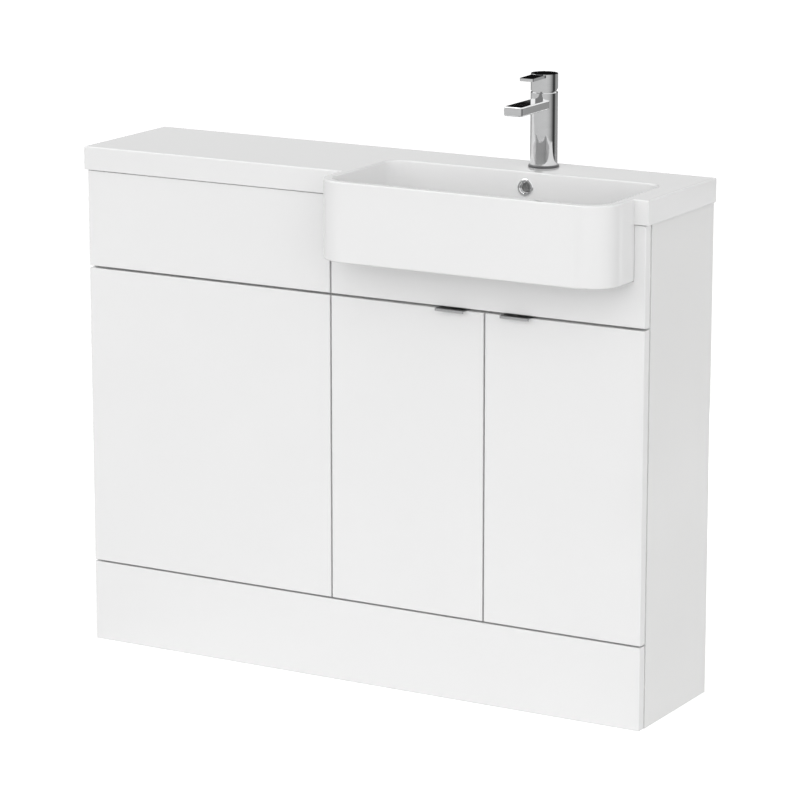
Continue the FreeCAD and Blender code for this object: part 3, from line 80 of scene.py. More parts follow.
WHITE = (1.0, 1.0, 1.0, 1.0)
FLOOR_WIDTH = 60.0

# The shaded ring on the floor: its radii, its level, and its brightness by azimuth, in degrees from the
# front towards the right. In the near sectors its inner edge comes closer to the unit.
RING_OUTER = 14.0
RING_FAR = 5.4
RING_NEAR = 1.4
RING_LEVEL = 0.002
RING_SIDES = 96
RING_NEAR_SECTORS = ((0.0, 130.0), (165.0, 262.0), (345.0, 360.0))
RING_STOPS = ((-90.0, 0.54), (45.0, 0.57), (70.0, 0.50), (90.0, 0.31), (109.0, 0.04), (124.0, 0.04),
              (139.0, 0.30), (210.0, 0.38), (217.0, 0.06), (232.0, 0.06), (240.0, 0.45), (269.0, 0.54))


def colour(name, description, default):
    """A colour among the settings."""
    return bpy.props.FloatVectorProperty(name=name, description=description, default=default,
                                         subtype="COLOR", min=0.0, max=1.0)


def distance(name, description, default):
    """A length among the settings, in metres."""
    return bpy.props.FloatProperty(name=name, description=description, default=default,
                                   subtype="DISTANCE", unit="LENGTH", min=0.0, precision=5)


def angle(name, description, degrees):
    """An angle among the settings."""
    return bpy.props.FloatProperty(name=name, description=description, default=math.radians(degrees),
                                   subtype="ANGLE", unit="ROTATION")


def strength(name, description, default):
    """A brightness among the settings."""
    return bpy.props.FloatProperty(name=name, description=description, default=default, min=0.0)


class VanityFinishes(bpy.types.PropertyGroup):
    """Colours of the unit's finishes."""

    lacquer: colour("Gloss lacquer", "Sprayed white of the doors, panels, fascia and plinth",
                    (0.76, 0.76, 0.76))
    board: colour("Faced board", "White facing of the carcass boards", (0.76, 0.76, 0.755))
    marble: colour("Cast marble", "Gel coat of the worktop and basin", (0.76, 0.76, 0.76))
    chrome: colour("Chrome", "Plating of the tap, the waste and the overflow", (0.90, 0.905, 0.91))
    # Painted shade: the pulls' grey is darker than their satin plating alone, standing in for the soft
    # shadow that they cast on the doors.
    pull: colour("Finger pulls", "Satin plating of the finger pulls", (0.33, 0.333, 0.336))
    nickel: colour("Nickel", "Plating of the hinges and fixings", (0.62, 0.60, 0.57))
    brass: colour("Brass", "Bare brass of the tap's spindle and the hidden nuts", (0.75, 0.56, 0.26))
    plastic: colour("White plastic", "Moulded trap, pipe, clips and inner pieces of the tap",
                    (0.83, 0.83, 0.81))
    ring: colour("Base ring", "Dark ring under the tap", (0.085, 0.085, 0.088))
    rubber: colour("Rubber", "Seals under the tap and the waste", (0.035, 0.035, 0.037))
    buffer: colour("Door buffers", "Soft clear pads behind the doors", (0.62, 0.62, 0.60))


class VanityFittings(bpy.types.PropertyGroup):
    """Sizes of the small fittings that are added to the unit."""

    screw_radius: distance("Screw head", "Radius of the hinge screws' heads", 0.0034)
    screw_height: distance("Screw head height", "Height of the hinge screws' heads", 0.0016)
    rib_depth: distance("Grip rib", "Height of the grip ribs on the trap", 0.0012)
    thread_pitch: distance("Waste thread", "Pitch of the waste's thread", 0.0024)
    stud_pitch: distance("Stud thread", "Pitch of the tap stud's thread", 0.001)
    waste_tube: distance("Waste tube", "Radius of the waste's threaded tube", 0.0209)
    cup_flange: distance("Cup flange", "Height of a hinge cup's flange", 0.062)
    plate_height: distance("Hinge plate", "Height of a hinge's mounting plate", 0.050)
    plate_thickness: distance("Plate thickness", "Thickness of a hinge's mounting plate", 0.004)
    mouth_radius: distance("Aerator mouth", "Radius of the recess in the aerator", 0.009)
    mouth_depth: distance("Aerator recess", "Depth of the recess in the aerator", 0.002)
    overflow_bore: distance("Overflow bore", "Radius of the bore of the overflow ring", 0.010)
    overflow_hole: distance("Overflow hole", "Radius of the hole that the overflow's lip leaves", 0.0086)
    overflow_lip: distance("Overflow lip", "Thickness of the lip in the overflow ring", 0.0014)
    web: distance("Straightener web", "Thickness of the flow straightener's webs", 0.0005)


class VanityStudio(bpy.types.PropertyGroup):
    """The floor, the light and the camera."""

    floor: colour("Floor", "Colour of the studio floor", (0.70, 0.70, 0.70))
    floor_lift: strength("Floor lift", "Light that the camera and the gloss see on the floor besides", 0.60)
    dome: strength("Dome", "Mean strength of the soft light all round", 1.26)
    lean: bpy.props.FloatVectorProperty(
        name="Lean", description="How much the soft light grows along each axis",
        default=(0.43, -1.05, -0.79), subtype="XYZ")
    overhead: strength("Overhead", "Strength of the overhead card in the gloss", 3.2)
    back_lamp: bpy.props.FloatProperty(
        name="Back lamp", description="Power of the soft lamp behind the unit",
        default=22.0, min=0.0, subtype="POWER")
    target: bpy.props.FloatVectorProperty(
        name="Target", description="Point that the camera looks at",
        default=(0.0524, -0.016, 0.5014), subtype="XYZ", unit="LENGTH")
    camera_distance: distance("Distance", "Camera from its target", 6.474)
    azimuth: angle("Azimuth", "Camera to the right of the unit's front", 29.851)
    elevation: angle("Elevation", "Camera above its target", 13.128)
    field: angle("Field of view", "Angle that the picture covers", 12.163)


# Node groups and materials

def put(tree, kind, inputs=None, **settings):
    """Adds a node, sets its properties, and fills its inputs with values or links."""
    node = tree.nodes.new(kind)
    for name, value in settings.items():
        setattr(node, name, value)
    for key, value in (inputs or {}).items():
        if isinstance(value, bpy.types.NodeSocket):
            tree.links.new(value, node.inputs[key])
        else:
            node.inputs[key].default_value = value
    return node


def calc(tree, operation, first, second=0.0):
    """The result of a math node."""
    node = put(tree, "ShaderNodeMath", {0: first, 1: second}, operation=operation)
    return node.outputs["Value"]


def noise_of(tree, vector, scale, detail):
    """The value of a noise texture."""
    node = put(tree, "ShaderNodeTexNoise", {"Vector": vector, "Scale": scale, "Detail": detail})
    return node.outputs["Fac"]


def new_group(name, inputs, outputs):
    """An empty shader node group with float inputs, given with their defaults, and named outputs."""
    tree = bpy.data.node_groups.new(name, "ShaderNodeTree")
    for label, default in inputs.items():
        socket = tree.interface.new_socket(label, in_out="INPUT", socket_type="NodeSocketFloat")
        socket.default_value = default
    for label in outputs:
        tree.interface.new_socket(label, in_out="OUTPUT", socket_type="NodeSocketFloat")
    return tree, tree.nodes.new("NodeGroupInput"), tree.nodes.new("NodeGroupOutput")


def clouds_group():
    """Broad soft patches, as of wiping or uneven spraying: a mask from 0 to 1."""
    name = "Soft clouds"
    if name in bpy.data.node_groups:
        return bpy.data.node_groups[name]
    tree, given, out = new_group(name, {"Scale": 6.0, "Detail": 3.0}, ("Mask",))
    place = put(tree, "ShaderNodeTexCoord")
    noise = noise_of(tree, place.outputs["Object"], given.outputs["Scale"], given.outputs["Detail"])
    mask = put(tree, "ShaderNodeMapRange", {"Value": noise, "From Min": 0.2, "From Max": 0.8},
               interpolation_type="SMOOTHSTEP")
    tree.links.new(mask.outputs["Result"], out.inputs["Mask"])
    return tree


def grain_group():
    """A fine pebbled skin over a slow ripple, as on sprayed, pressed or moulded surfaces: a height."""
    name = "Fine grain"
    if name in bpy.data.node_groups:
        return bpy.data.node_groups[name]
    settings = {"Grain Scale": 900.0, "Ripple Scale": 60.0, "Ripple": 0.5}
    tree, given, out = new_group(name, settings, ("Height",))
    place = put(tree, "ShaderNodeTexCoord")
    grain = noise_of(tree, place.outputs["Object"], given.outputs["Grain Scale"], detail=1.0)
    ripple = noise_of(tree, place.outputs["Object"], given.outputs["Ripple Scale"], detail=1.0)
    share = calc(tree, "MULTIPLY", ripple, given.outputs["Ripple"])
    tree.links.new(calc(tree, "ADD", grain, share), out.inputs["Height"])
    return tree


def hairline_group():
    """Fine lines round the upright axis, as of polishing or drawing: a mask from 0 to 1 and a height."""
    name = "Hairlines"
    if name in bpy.data.node_groups:
        return bpy.data.node_groups[name]
    tree, given, out = new_group(name, {"Scale": 40.0, "Stretch": 40.0}, ("Mask", "Height"))
    place = put(tree, "ShaderNodeTexCoord")
    long = put(tree, "ShaderNodeCombineXYZ", {"X": 1.0, "Y": 1.0, "Z": given.outputs["Stretch"]})
    stretched = put(tree, "ShaderNodeVectorMath", {0: place.outputs["Object"], 1: long.outputs["Vector"]},
                    operation="MULTIPLY")
    noise = noise_of(tree, stretched.outputs["Vector"], given.outputs["Scale"], detail=4.0)
    mask = put(tree, "ShaderNodeMapRange", {"Value": noise, "From Min": 0.45, "From Max": 0.75})
    tree.links.new(mask.outputs["Result"], out.inputs["Mask"])
    tree.links.new(noise, out.inputs["Height"])
    return tree


def empty_material(name):
    """A new material whose node tree is empty."""
    material = bpy.data.materials.new(name)
    material.use_nodes = True
    material.node_tree.nodes.clear()
    return material


def new_material(name):
    """A new material with one principled surface."""
    material = empty_material(name)
    tree = material.node_tree
    surface = put(tree, "ShaderNodeBsdfPrincipled")
    put(tree, "ShaderNodeOutputMaterial", {"Surface": surface.outputs["BSDF"]})
    return material, tree, surface


def use_group(tree, group, **values):
    """A node of a group, its inputs set by their names with underscores for the spaces."""
    node = put(tree, "ShaderNodeGroup", node_tree=group)
    for key, value in values.items():
        node.inputs[key.replace("_", " ")].default_value = value
    return node


def vary(tree, surface, colour_value, mask, depth):
    """Base colour that falls off by depth where the mask is 1."""
    full = (*colour_value, 1.0)
    dim = (*(channel * (1.0 - depth) for channel in colour_value), 1.0)
    # The colour sockets of this node share their names with its other types, so they go by place.
    mix = put(tree, "ShaderNodeMix", {0: mask, 6: full, 7: dim}, data_type="RGBA")
    tree.links.new(mix.outputs[2], surface.inputs["Base Color"])


def vary_roughness(tree, surface, mask, low, high):
    """Roughness between low and high by the mask."""
    spread = put(tree, "ShaderNodeMapRange", {"Value": mask, "To Min": low, "To Max": high})
    tree.links.new(spread.outputs["Result"], surface.inputs["Roughness"])


def bump(tree, surface, height, strength, depth):
    """Fine relief of the surface from a height."""
    node = put(tree, "ShaderNodeBump", {"Height": height, "Strength": strength, "Distance": depth})
    tree.links.new(node.outputs["Normal"], surface.inputs["Normal"])


def finishes():
    """The colours among the scene's settings."""
    return bpy.context.scene.vanity_finishes


def lacquer_material():
    """Sprayed and polished white: glossy, with faint orange peel and wipe marks."""
    material, tree, surface = new_material("gloss_lacquer")
    marks = use_group(tree, clouds_group(), Scale=5.0, Detail=4.0)
    skin = use_group(tree, grain_group(), Grain_Scale=420.0, Ripple_Scale=45.0, Ripple=1.5)
    vary(tree, surface, finishes().lacquer, marks.outputs["Mask"], depth=0.012)
    vary_roughness(tree, surface, marks.outputs["Mask"], low=0.10, high=0.16)
    bump(tree, surface, skin.outputs["Height"], strength=0.05, depth=0.00004)
    surface.inputs["Specular IOR Level"].default_value = 0.5
    return material


def board_material():
    """White faced board: satin, with a fine pressed texture."""
    material, tree, surface = new_material("faced_board")
    marks = use_group(tree, clouds_group(), Scale=4.0, Detail=2.0)
    skin = use_group(tree, grain_group(), Grain_Scale=900.0, Ripple_Scale=160.0, Ripple=0.8)
    vary(tree, surface, finishes().board, marks.outputs["Mask"], depth=0.015)
    vary_roughness(tree, surface, marks.outputs["Mask"], low=0.30, high=0.36)
    bump(tree, surface, skin.outputs["Height"], strength=0.06, depth=0.00004)
    surface.inputs["Specular IOR Level"].default_value = 0.45
    return material


def marble_material():
    """Polished gel coat over cast marble: very smooth, with faint soft patches."""
    material, tree, surface = new_material("gel_coat")
    marks = use_group(tree, clouds_group(), Scale=7.0, Detail=3.0)
    skin = use_group(tree, grain_group(), Grain_Scale=260.0, Ripple_Scale=24.0, Ripple=2.0)
    vary(tree, surface, finishes().marble, marks.outputs["Mask"], depth=0.008)
    vary_roughness(tree, surface, marks.outputs["Mask"], low=0.06, high=0.11)
    bump(tree, surface, skin.outputs["Height"], strength=0.03, depth=0.00004)
    surface.inputs["Specular IOR Level"].default_value = 0.5
    return material


def metal_material(name, tone, low, high, scale, stretch, strength):
    """Plated or drawn metal with hairlines that vary its gloss."""
    material, tree, surface = new_material(name)
    lines = use_group(tree, hairline_group(), Scale=scale, Stretch=stretch)
    vary(tree, surface, tone, lines.outputs["Mask"], depth=0.05)
    vary_roughness(tree, surface, lines.outputs["Mask"], low, high)
    bump(tree, surface, lines.outputs["Height"], strength, depth=0.00003)
    surface.inputs["Metallic"].default_value = 1.0
    return material


def chrome_material():
    return metal_material("chrome_plate", finishes().chrome, low=0.03, high=0.07,
                          scale=30.0, stretch=3.0, strength=0.02)


# The pulls' satin plating, its grey darkened with painted shade for the shadow that they cast.
def pull_material():
    return metal_material("pull_plate_and_painted_shade", finishes().pull, low=0.12, high=0.20,
                          scale=60.0, stretch=8.0, strength=0.08)


def nickel_material():
    return metal_material("nickel_plate", finishes().nickel, low=0.29, high=0.38,
                          scale=90.0, stretch=14.0, strength=0.2)


def brass_material():
    return metal_material("bare_brass", finishes().brass, low=0.29, high=0.40,
                          scale=120.0, stretch=20.0, strength=0.3)


def moulded_material(name, tone, low, high, grain, strength):
    """Moulded plastic or rubber with a fine grain."""
    material, tree, surface = new_material(name)
    marks = use_group(tree, clouds_group(), Scale=30.0, Detail=4.0)
    skin = use_group(tree, grain_group(), Grain_Scale=grain, Ripple_Scale=200.0, Ripple=0.5)
    vary(tree, surface, tone, marks.outputs["Mask"], depth=0.05)
    vary_roughness(tree, surface, marks.outputs["Mask"], low, high)
    bump(tree, surface, skin.outputs["Height"], strength, depth=0.00008)
    surface.inputs["Specular IOR Level"].default_value = 0.4
    return material


def plastic_material():
    return moulded_material("white_plastic", finishes().plastic, low=0.30, high=0.40,
                            grain=1800.0, strength=0.12)


def rubber_material():
    return moulded_material("black_rubber", finishes().rubber, low=0.55, high=0.75,
                            grain=2200.0, strength=0.3)


def ring_material():
    return moulded_material("grey_ring", finishes().ring, low=0.28, high=0.40,
                            grain=1500.0, strength=0.1)


def buffer_material():
    return moulded_material("soft_buffer", finishes().buffer, low=0.29, high=0.38,
                            grain=1200.0, strength=0.1)


MATERIAL_MAKERS = {
    "gloss_lacquer": lacquer_material, "faced_board": board_material, "gel_coat": marble_material,
    "chrome_plate": chrome_material, "nickel_plate": nickel_material, "bare_brass": brass_material,
    "white_plastic": plastic_material, "black_rubber": rubber_material, "soft_buffer": buffer_material,
    "grey_ring": ring_material, "pull_plate_and_painted_shade": pull_material,
}


def finish_of(name):
    """The material of that name, made on its first use."""
    if name not in bpy.data.materials:
        MATERIAL_MAKERS[name]()
    return bpy.data.materials[name]


def coat(names, finish):
    """Gives CAD nodes a finish."""
    for name in names:
        for slot in NODES[name].material_slots:
            slot.material = finish_of(finish)


# Mesh helpers

def piece_from(bm, name, body, finish, crease=35.0):
    """Turns a bmesh into a piece that rides on a body, smooth but for edges sharper than the crease."""
    bmesh.ops.recalc_face_normals(bm, faces=bm.faces)
    for face in bm.faces:
        face.smooth = True
    for edge in bm.edges:
        edge.smooth = edge.calc_face_angle(0.0) < math.radians(crease)
    mesh = bpy.data.meshes.new(name)
    bm.to_mesh(mesh)
    bm.free()
    mesh.materials.append(finish_of(finish))
    piece = bpy.data.objects.new(name, mesh)
    bpy.context.scene.collection.objects.link(piece)
    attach(piece, body)


def polar(radius, spin, height):
    """The point at a radius and an angle round the Z axis, and at a height."""
    return Vector((radius * math.cos(spin), radius * math.sin(spin), height))


def ring_of(bm, matrix, radius, height, count):
    """A ring of vertices round the matrix's Z axis."""
    turn = 2.0 * math.pi / count
    return [bm.verts.new(matrix @ polar(radius, turn * i, height)) for i in range(count)]


def bridge(bm, low, high):
    """Faces between two closed rings with as many vertices."""
    for i in range(len(low)):
        j = (i + 1) % len(low)
        bm.faces.new((low[i], low[j], high[j], high[i]))


def turn_closed(bm, matrix, profile, count):
    """A ring-shaped solid: a closed profile of radius and height turned round the matrix's Z axis."""
    rings = [ring_of(bm, matrix, radius, height, count) for radius, height in profile]
    for i, ring in enumerate(rings):
        bridge(bm, ring, rings[(i + 1) % len(rings)])


def block(bm, matrix, low, high):
    """A small bar between two corners in the matrix's frame."""
    rings = [[bm.verts.new(matrix @ Vector((x, y, z)))
              for x, y in ((low[0], low[1]), (high[0], low[1]), (high[0], high[1]), (low[0], high[1]))]
             for z in (low[2], high[2])]
    bridge(bm, rings[0], rings[1])
    bm.faces.new(list(reversed(rings[0])))
    bm.faces.new(rings[1])


def cross_screw(bm, matrix, radius, height):
    """A pan head with a cross recess, standing on the matrix's XY plane."""
    count = 24
    arm = 0.46 * radius
    slot = 0.11 * radius
    recess = 0.55 * height
    taper = 0.8
    foot = ring_of(bm, matrix, radius, 0.0, count)
    side = ring_of(bm, matrix, radius, 0.45 * height, count)
    shoulder = ring_of(bm, matrix, 0.9 * radius, 0.85 * height, count)
    crown = ring_of(bm, matrix, 0.72 * radius, height, count)
    for low, high in ((foot, side), (side, shoulder), (shoulder, crown)):
        bridge(bm, low, high)
    bm.faces.new(list(reversed(foot)))
    corners = [(arm, -slot), (arm, slot), (slot, slot), (slot, arm), (-slot, arm), (-slot, slot),
               (-arm, slot), (-arm, -slot), (-slot, -slot), (-slot, -arm), (slot, -arm), (slot, -slot)]
    mouth = [bm.verts.new(matrix @ Vector((x, y, height))) for x, y in corners]
    floor = [bm.verts.new(matrix @ Vector((taper * x, taper * y, height - recess))) for x, y in corners]
    bridge(bm, mouth, floor)
    bm.faces.new(floor)
    # The flat of the crown lies between its rim and the mouth of the recess.
    edges = []
    for ring in (crown, mouth):
        for i in range(len(ring)):
            edges.append(bm.edges.get((ring[i], ring[(i + 1) % len(ring)])))
    bmesh.ops.triangle_fill(bm, edges=edges, use_beauty=True)


def ribbed_sleeve(bm, matrix, radius, low, high, ribs, depth):
    """A sleeve of grip ribs round a nut, its bore just inside the nut's surface."""
    bite = 0.0004
    # A rib takes four vertices of a ring, two on its crown and two in the groove beside it. Each pair is
    # drawn together by a share of a step, so the sides of the rib slope.
    count = 4 * ribs
    slope = 0.25
    rings = []
    for height, drop in ((low, depth), (low + depth, 0.0), (high - depth, 0.0), (high, depth)):
        ring = []
        for i in range(count):
            reach = radius + (depth - drop if i % 4 in (0, 1) else 0.0)
            shift = slope if i % 4 in (0, 2) else -slope
            ring.append(bm.verts.new(matrix @ polar(reach, 2.0 * math.pi * (i + shift) / count, height)))
        rings.append(ring)
    inner = [ring_of(bm, matrix, radius - bite, height, count) for height in (low, high)]
    for first, second in zip(rings, rings[1:]):
        bridge(bm, first, second)
    bridge(bm, rings[-1], inner[1])
    bridge(bm, inner[1], inner[0])
    bridge(bm, inner[0], rings[0])


def thread_ridge(bm, matrix, radius, low, high, pitch, depth):
    """A helical ridge of a screw thread on a core of that radius."""
    steps = 24
    turns = (high - low - pitch) / pitch
    bite = 0.0002
    half = 0.45 * pitch
    section = ((radius - bite, -half), (radius + depth, 0.0), (radius - bite, half))
    rows = []
    for i in range(int(turns * steps) + 1):
        spin = 2.0 * math.pi * i / steps
        height = low + pitch / 2 + pitch * i / steps
        rows.append([bm.verts.new(matrix @ polar(reach, spin, height + rise)) for reach, rise in section])
    for first, second in zip(rows, rows[1:]):
        bridge(bm, first, second)
    bm.faces.new(rows[0])
    bm.faces.new(rows[-1])


def middle_of(node):
    """The middle of a node's box."""
    low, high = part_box(node)
    return (Vector(low) + Vector(high)) / 2.0


def half_width(node):
    """Half of a node's size along X."""
    low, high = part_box(node)
    return (high[0] - low[0]) / 2.0


def upright_of(node):
    """A frame at floor level, straight below a node's middle."""
    centre = middle_of(node)
    return Matrix.Translation((centre.x, centre.y, 0.0))


def facing(point, direction):
    """A frame at a point whose Z axis looks along a direction."""
    return Matrix.Translation(point) @ Vector(direction).to_track_quat("Z", "Y").to_matrix().to_4x4()


# Operators

class VANITY_OT_fronts(bpy.types.Operator):
    """Gives the doors, panels, fascia and plinth their gloss lacquer, and finishes the doors' buffers"""

    bl_idname = "vanity.fronts"
    bl_label = "Gloss fronts"

    def execute(self, context):
        coat(FRONTS, "gloss_lacquer")
        coat(("left_door_buffers", "right_door_buffers"), "soft_buffer")
        return {"FINISHED"}


class VANITY_OT_carcasses(bpy.types.Operator):
    """Gives the boards of both carcasses their facing, and finishes their clips, pins, bolts and screws"""

    bl_idname = "vanity.carcasses"
    bl_label = "Carcasses"

    def execute(self, context):
        coat(WC_BOARDS + VANITY_BOARDS, "faced_board")
        coat(("panel_clips",), "white_plastic")
        coat(SCREWS, "nickel_plate")
        return {"FINISHED"}


class VANITY_OT_worktop(bpy.types.Operator):
    """Gives the worktop and basin their gel coat"""

    bl_idname = "vanity.worktop"
    bl_label = "Worktop and basin"

    def execute(self, context):
        coat(("worktop_basin",), "gel_coat")
        return {"FINISHED"}


class VANITY_OT_tap(bpy.types.Operator):
    """Finishes the tap and adds the flow straightener in its aerator and the stud's thread"""

    bl_idname = "vanity.tap"
    bl_label = "Tap"

    def execute(self, context):
        coat(TAP_CHROME, "chrome_plate")
        coat(TAP_BRASS, "bare_brass")
        coat(TAP_STEEL, "nickel_plate")
        coat(TAP_PLASTIC, "white_plastic")
        coat(("tap_base_ring",), "grey_ring")
        coat(("tap_seal",), "black_rubber")
        sizes = context.scene.vanity_fittings
        self.flow_straightener(sizes)
        self.stud_thread(sizes.stud_pitch)
        return {"FINISHED"}

    def flow_straightener(self, sizes):
        """Webs in the aerator's mouth: three rings and twelve spokes."""
        centre = middle_of("tap_aerator")
        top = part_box("tap_aerator")[0][2] + sizes.mouth_depth
        axis = Matrix.Translation((centre.x, centre.y, top))
        low = -0.8 * sizes.mouth_depth
        bm = bmesh.new()
        for share in STRAIGHTENER_RINGS:
            inner = share * sizes.mouth_radius
            outer = inner + sizes.web
            turn_closed(bm, axis, ((inner, low), (outer, low), (outer, 0.0), (inner, 0.0)), count=36)
        start = 0.28 * sizes.mouth_radius
        end = STRAIGHTENER_RINGS[-1] * sizes.mouth_radius
        half = sizes.web / 2.0
        for i in range(STRAIGHTENER_SPOKES):
            spoke = axis @ Matrix.Rotation(2.0 * math.pi * i / STRAIGHTENER_SPOKES, 4, "Z")
            block(bm, spoke, (start, -half, low), (end, half, 0.0))
        piece_from(bm, "tap_flow_straightener", "unit", "white_plastic")

    def stud_thread(self, pitch):
        """The thread of the fixing stud below its nut."""
        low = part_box("tap_stud")[0][2]
        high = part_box("tap_stud_nut")[0][2]
        bm = bmesh.new()
        axis = upright_of("tap_stud")
        thread_ridge(bm, axis, half_width("tap_stud"), low, high, pitch, depth=0.4 * pitch)
        piece_from(bm, "tap_stud_thread", "unit", "nickel_plate")


class VANITY_OT_waste(bpy.types.Operator):
    """Finishes the overflow, the waste and the trap and adds a lip, a thread and grip ribs"""

    bl_idname = "vanity.waste"
    bl_label = "Waste and trap"

    def execute(self, context):
        coat(BASIN_CHROME, "chrome_plate")
        coat(TRAP_PLASTIC, "white_plastic")
        coat(("waste_seal",), "black_rubber")
        coat(("waste_backnut",), "bare_brass")
        sizes = context.scene.vanity_fittings
        self.overflow_lip(sizes)
        self.grip_ribs(sizes.rib_depth)
        self.waste_thread(sizes.waste_tube, sizes.thread_pitch)
        return {"FINISHED"}

    def overflow_lip(self, sizes):
        """A rolled lip in the mouth of the overflow ring, along the ring's own leaning axis."""
        front = [face for face in NODES["overflow_ring"].data.polygons if face.normal.y < -0.5]
        axis = sum((face.area * face.normal for face in front), Vector()).normalized()
        mouth = facing(middle_of("overflow_ring"), axis)
        inner = sizes.overflow_hole
        outer = sizes.overflow_bore
        half = sizes.overflow_lip / 2.0
        turns = [math.pi * i / 4.0 for i in range(5)]
        rolled = [(inner + half * (1.0 - math.sin(turn)), half * math.cos(turn)) for turn in turns]
        bm = bmesh.new()
        turn_closed(bm, mouth, [(outer, half), *rolled, (outer, -half)], count=48)
        piece_from(bm, "overflow_lip", "unit", "chrome_plate", crease=50.0)

    def grip_ribs(self, depth):
        """Grip ribs on the trap's two nuts and round the top of its cup."""
        bm = bmesh.new()
        upright = upright_of("trap_inlet_nut")
        low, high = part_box("trap_inlet_nut")
        ribbed_sleeve(bm, upright, half_width("trap_inlet_nut"), low=low[2] + 0.003, high=high[2] - 0.005,
                      ribs=18, depth=depth)
        low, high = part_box("trap_cup")
        ribbed_sleeve(bm, upright, half_width("trap_cup"), low=high[2] - 0.020, high=high[2] - 0.003,
                      ribs=22, depth=depth)
        low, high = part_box("trap_outlet_nut")
        along = facing((middle_of("trap_inlet_nut").x, 0.0, middle_of("trap_outlet_nut").z), TO_BACK)
        ribbed_sleeve(bm, along, half_width("trap_outlet_nut"), low=low[1] + 0.002, high=high[1] - 0.004,
                      ribs=16, depth=depth)
        piece_from(bm, "trap_grip_ribs", "unit", "white_plastic")

    def waste_thread(self, radius, pitch):
        """The waste's thread between its back nut and the trap's inlet nut."""
        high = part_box("waste_backnut")[0][2]
        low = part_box("trap_inlet_nut")[1][2]
        bm = bmesh.new()
        thread_ridge(bm, upright_of("waste_backnut"), radius, low, high, pitch, depth=0.35 * pitch)
        piece_from(bm, "waste_thread", "unit", "chrome_plate")


class VANITY_OT_hinges(bpy.types.Operator):
    """Plates the hinges and adds their screws"""

    bl_idname = "vanity.hinges"
    bl_label = "Hinges"

    def execute(self, context):
        coat(HINGE_STEEL, "nickel_plate")
        sizes = context.scene.vanity_fittings
        for side in ("left", "right"):
            self.cup_screws(side, sizes)
        self.plate_screws(sizes)
        self.arm_screws(sizes)
        return {"FINISHED"}

    def cup_screws(self, side, sizes):
        """Two screws in the flange of each cup, one above and one below it."""
        low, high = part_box(f"{side}_hinge_cups")
        across = (low[0] + high[0]) / 2.0
        bm = bmesh.new()
        for foot in (low[2], high[2] - sizes.cup_flange):
            for share in CUP_SCREWS:
                place = (across, high[1], foot + share * sizes.cup_flange)
                self.screw(bm, place, TO_BACK, sizes)
        piece_from(bm, f"{side}_hinge_cup_screws", f"{side}_door_leaf", "nickel_plate")

    def plate_screws(self, sizes):
        """Two screws in each mounting plate, above and below the arm."""
        low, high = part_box("hinge_plates")
        depth = (low[1] + high[1]) / 2.0
        faces = ((low[0] + sizes.plate_thickness, 1.0), (high[0] - sizes.plate_thickness, -1.0))
        bm = bmesh.new()
        for across, side in faces:
            for foot in (low[2], high[2] - sizes.plate_height):
                for share in PLATE_SCREWS:
                    place = (across, depth, foot + share * sizes.plate_height)
                    self.screw(bm, place, (side, 0.0, 0.0), sizes)
        piece_from(bm, "hinge_plate_screws", "unit", "nickel_plate")

    def arm_screws(self, sizes):
        """A side screw and a depth screw in the sloping face of each hinge arm."""
        low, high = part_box("hinge_plates")
        heights = (low[2] + sizes.plate_height / 2.0, high[2] - sizes.plate_height / 2.0)
        middle = (low[0] + high[0]) / 2.0
        points = [vertex.co for vertex in NODES["hinge_arms"].data.vertices if vertex.co.x < middle]
        end = max(points, key=lambda point: (round(point.y, 5), point.x))
        neck = max(points, key=lambda point: (round(point.x, 5), point.y))
        along = Vector((end.x - neck.x, end.y - neck.y, 0.0))
        out = Vector((along.y, -along.x, 0.0)).normalized()
        bm = bmesh.new()
        for share in ARM_SCREWS:
            spot = Vector((neck.x, neck.y, 0.0)) + share * along
            for height in heights:
                for side in (1.0, -1.0):
                    place = (middle + side * (spot.x - middle), spot.y, height)
                    self.screw(bm, place, (side * out.x, out.y, 0.0), sizes)
        piece_from(bm, "hinge_arm_screws", "unit", "nickel_plate")

    def screw(self, bm, place, direction, sizes):
        """A hinge screw at a place, its head looking along a direction."""
        cross_screw(bm, facing(place, direction), sizes.screw_radius, sizes.screw_height)


class VANITY_OT_pulls(bpy.types.Operator):
    """Plates the finger pulls, in a grey darkened with painted shade"""

    bl_idname = "vanity.pulls"
    bl_label = "Finger pulls"

    def execute(self, context):
        coat(PULLS, "pull_plate_and_painted_shade")
        return {"FINISHED"}


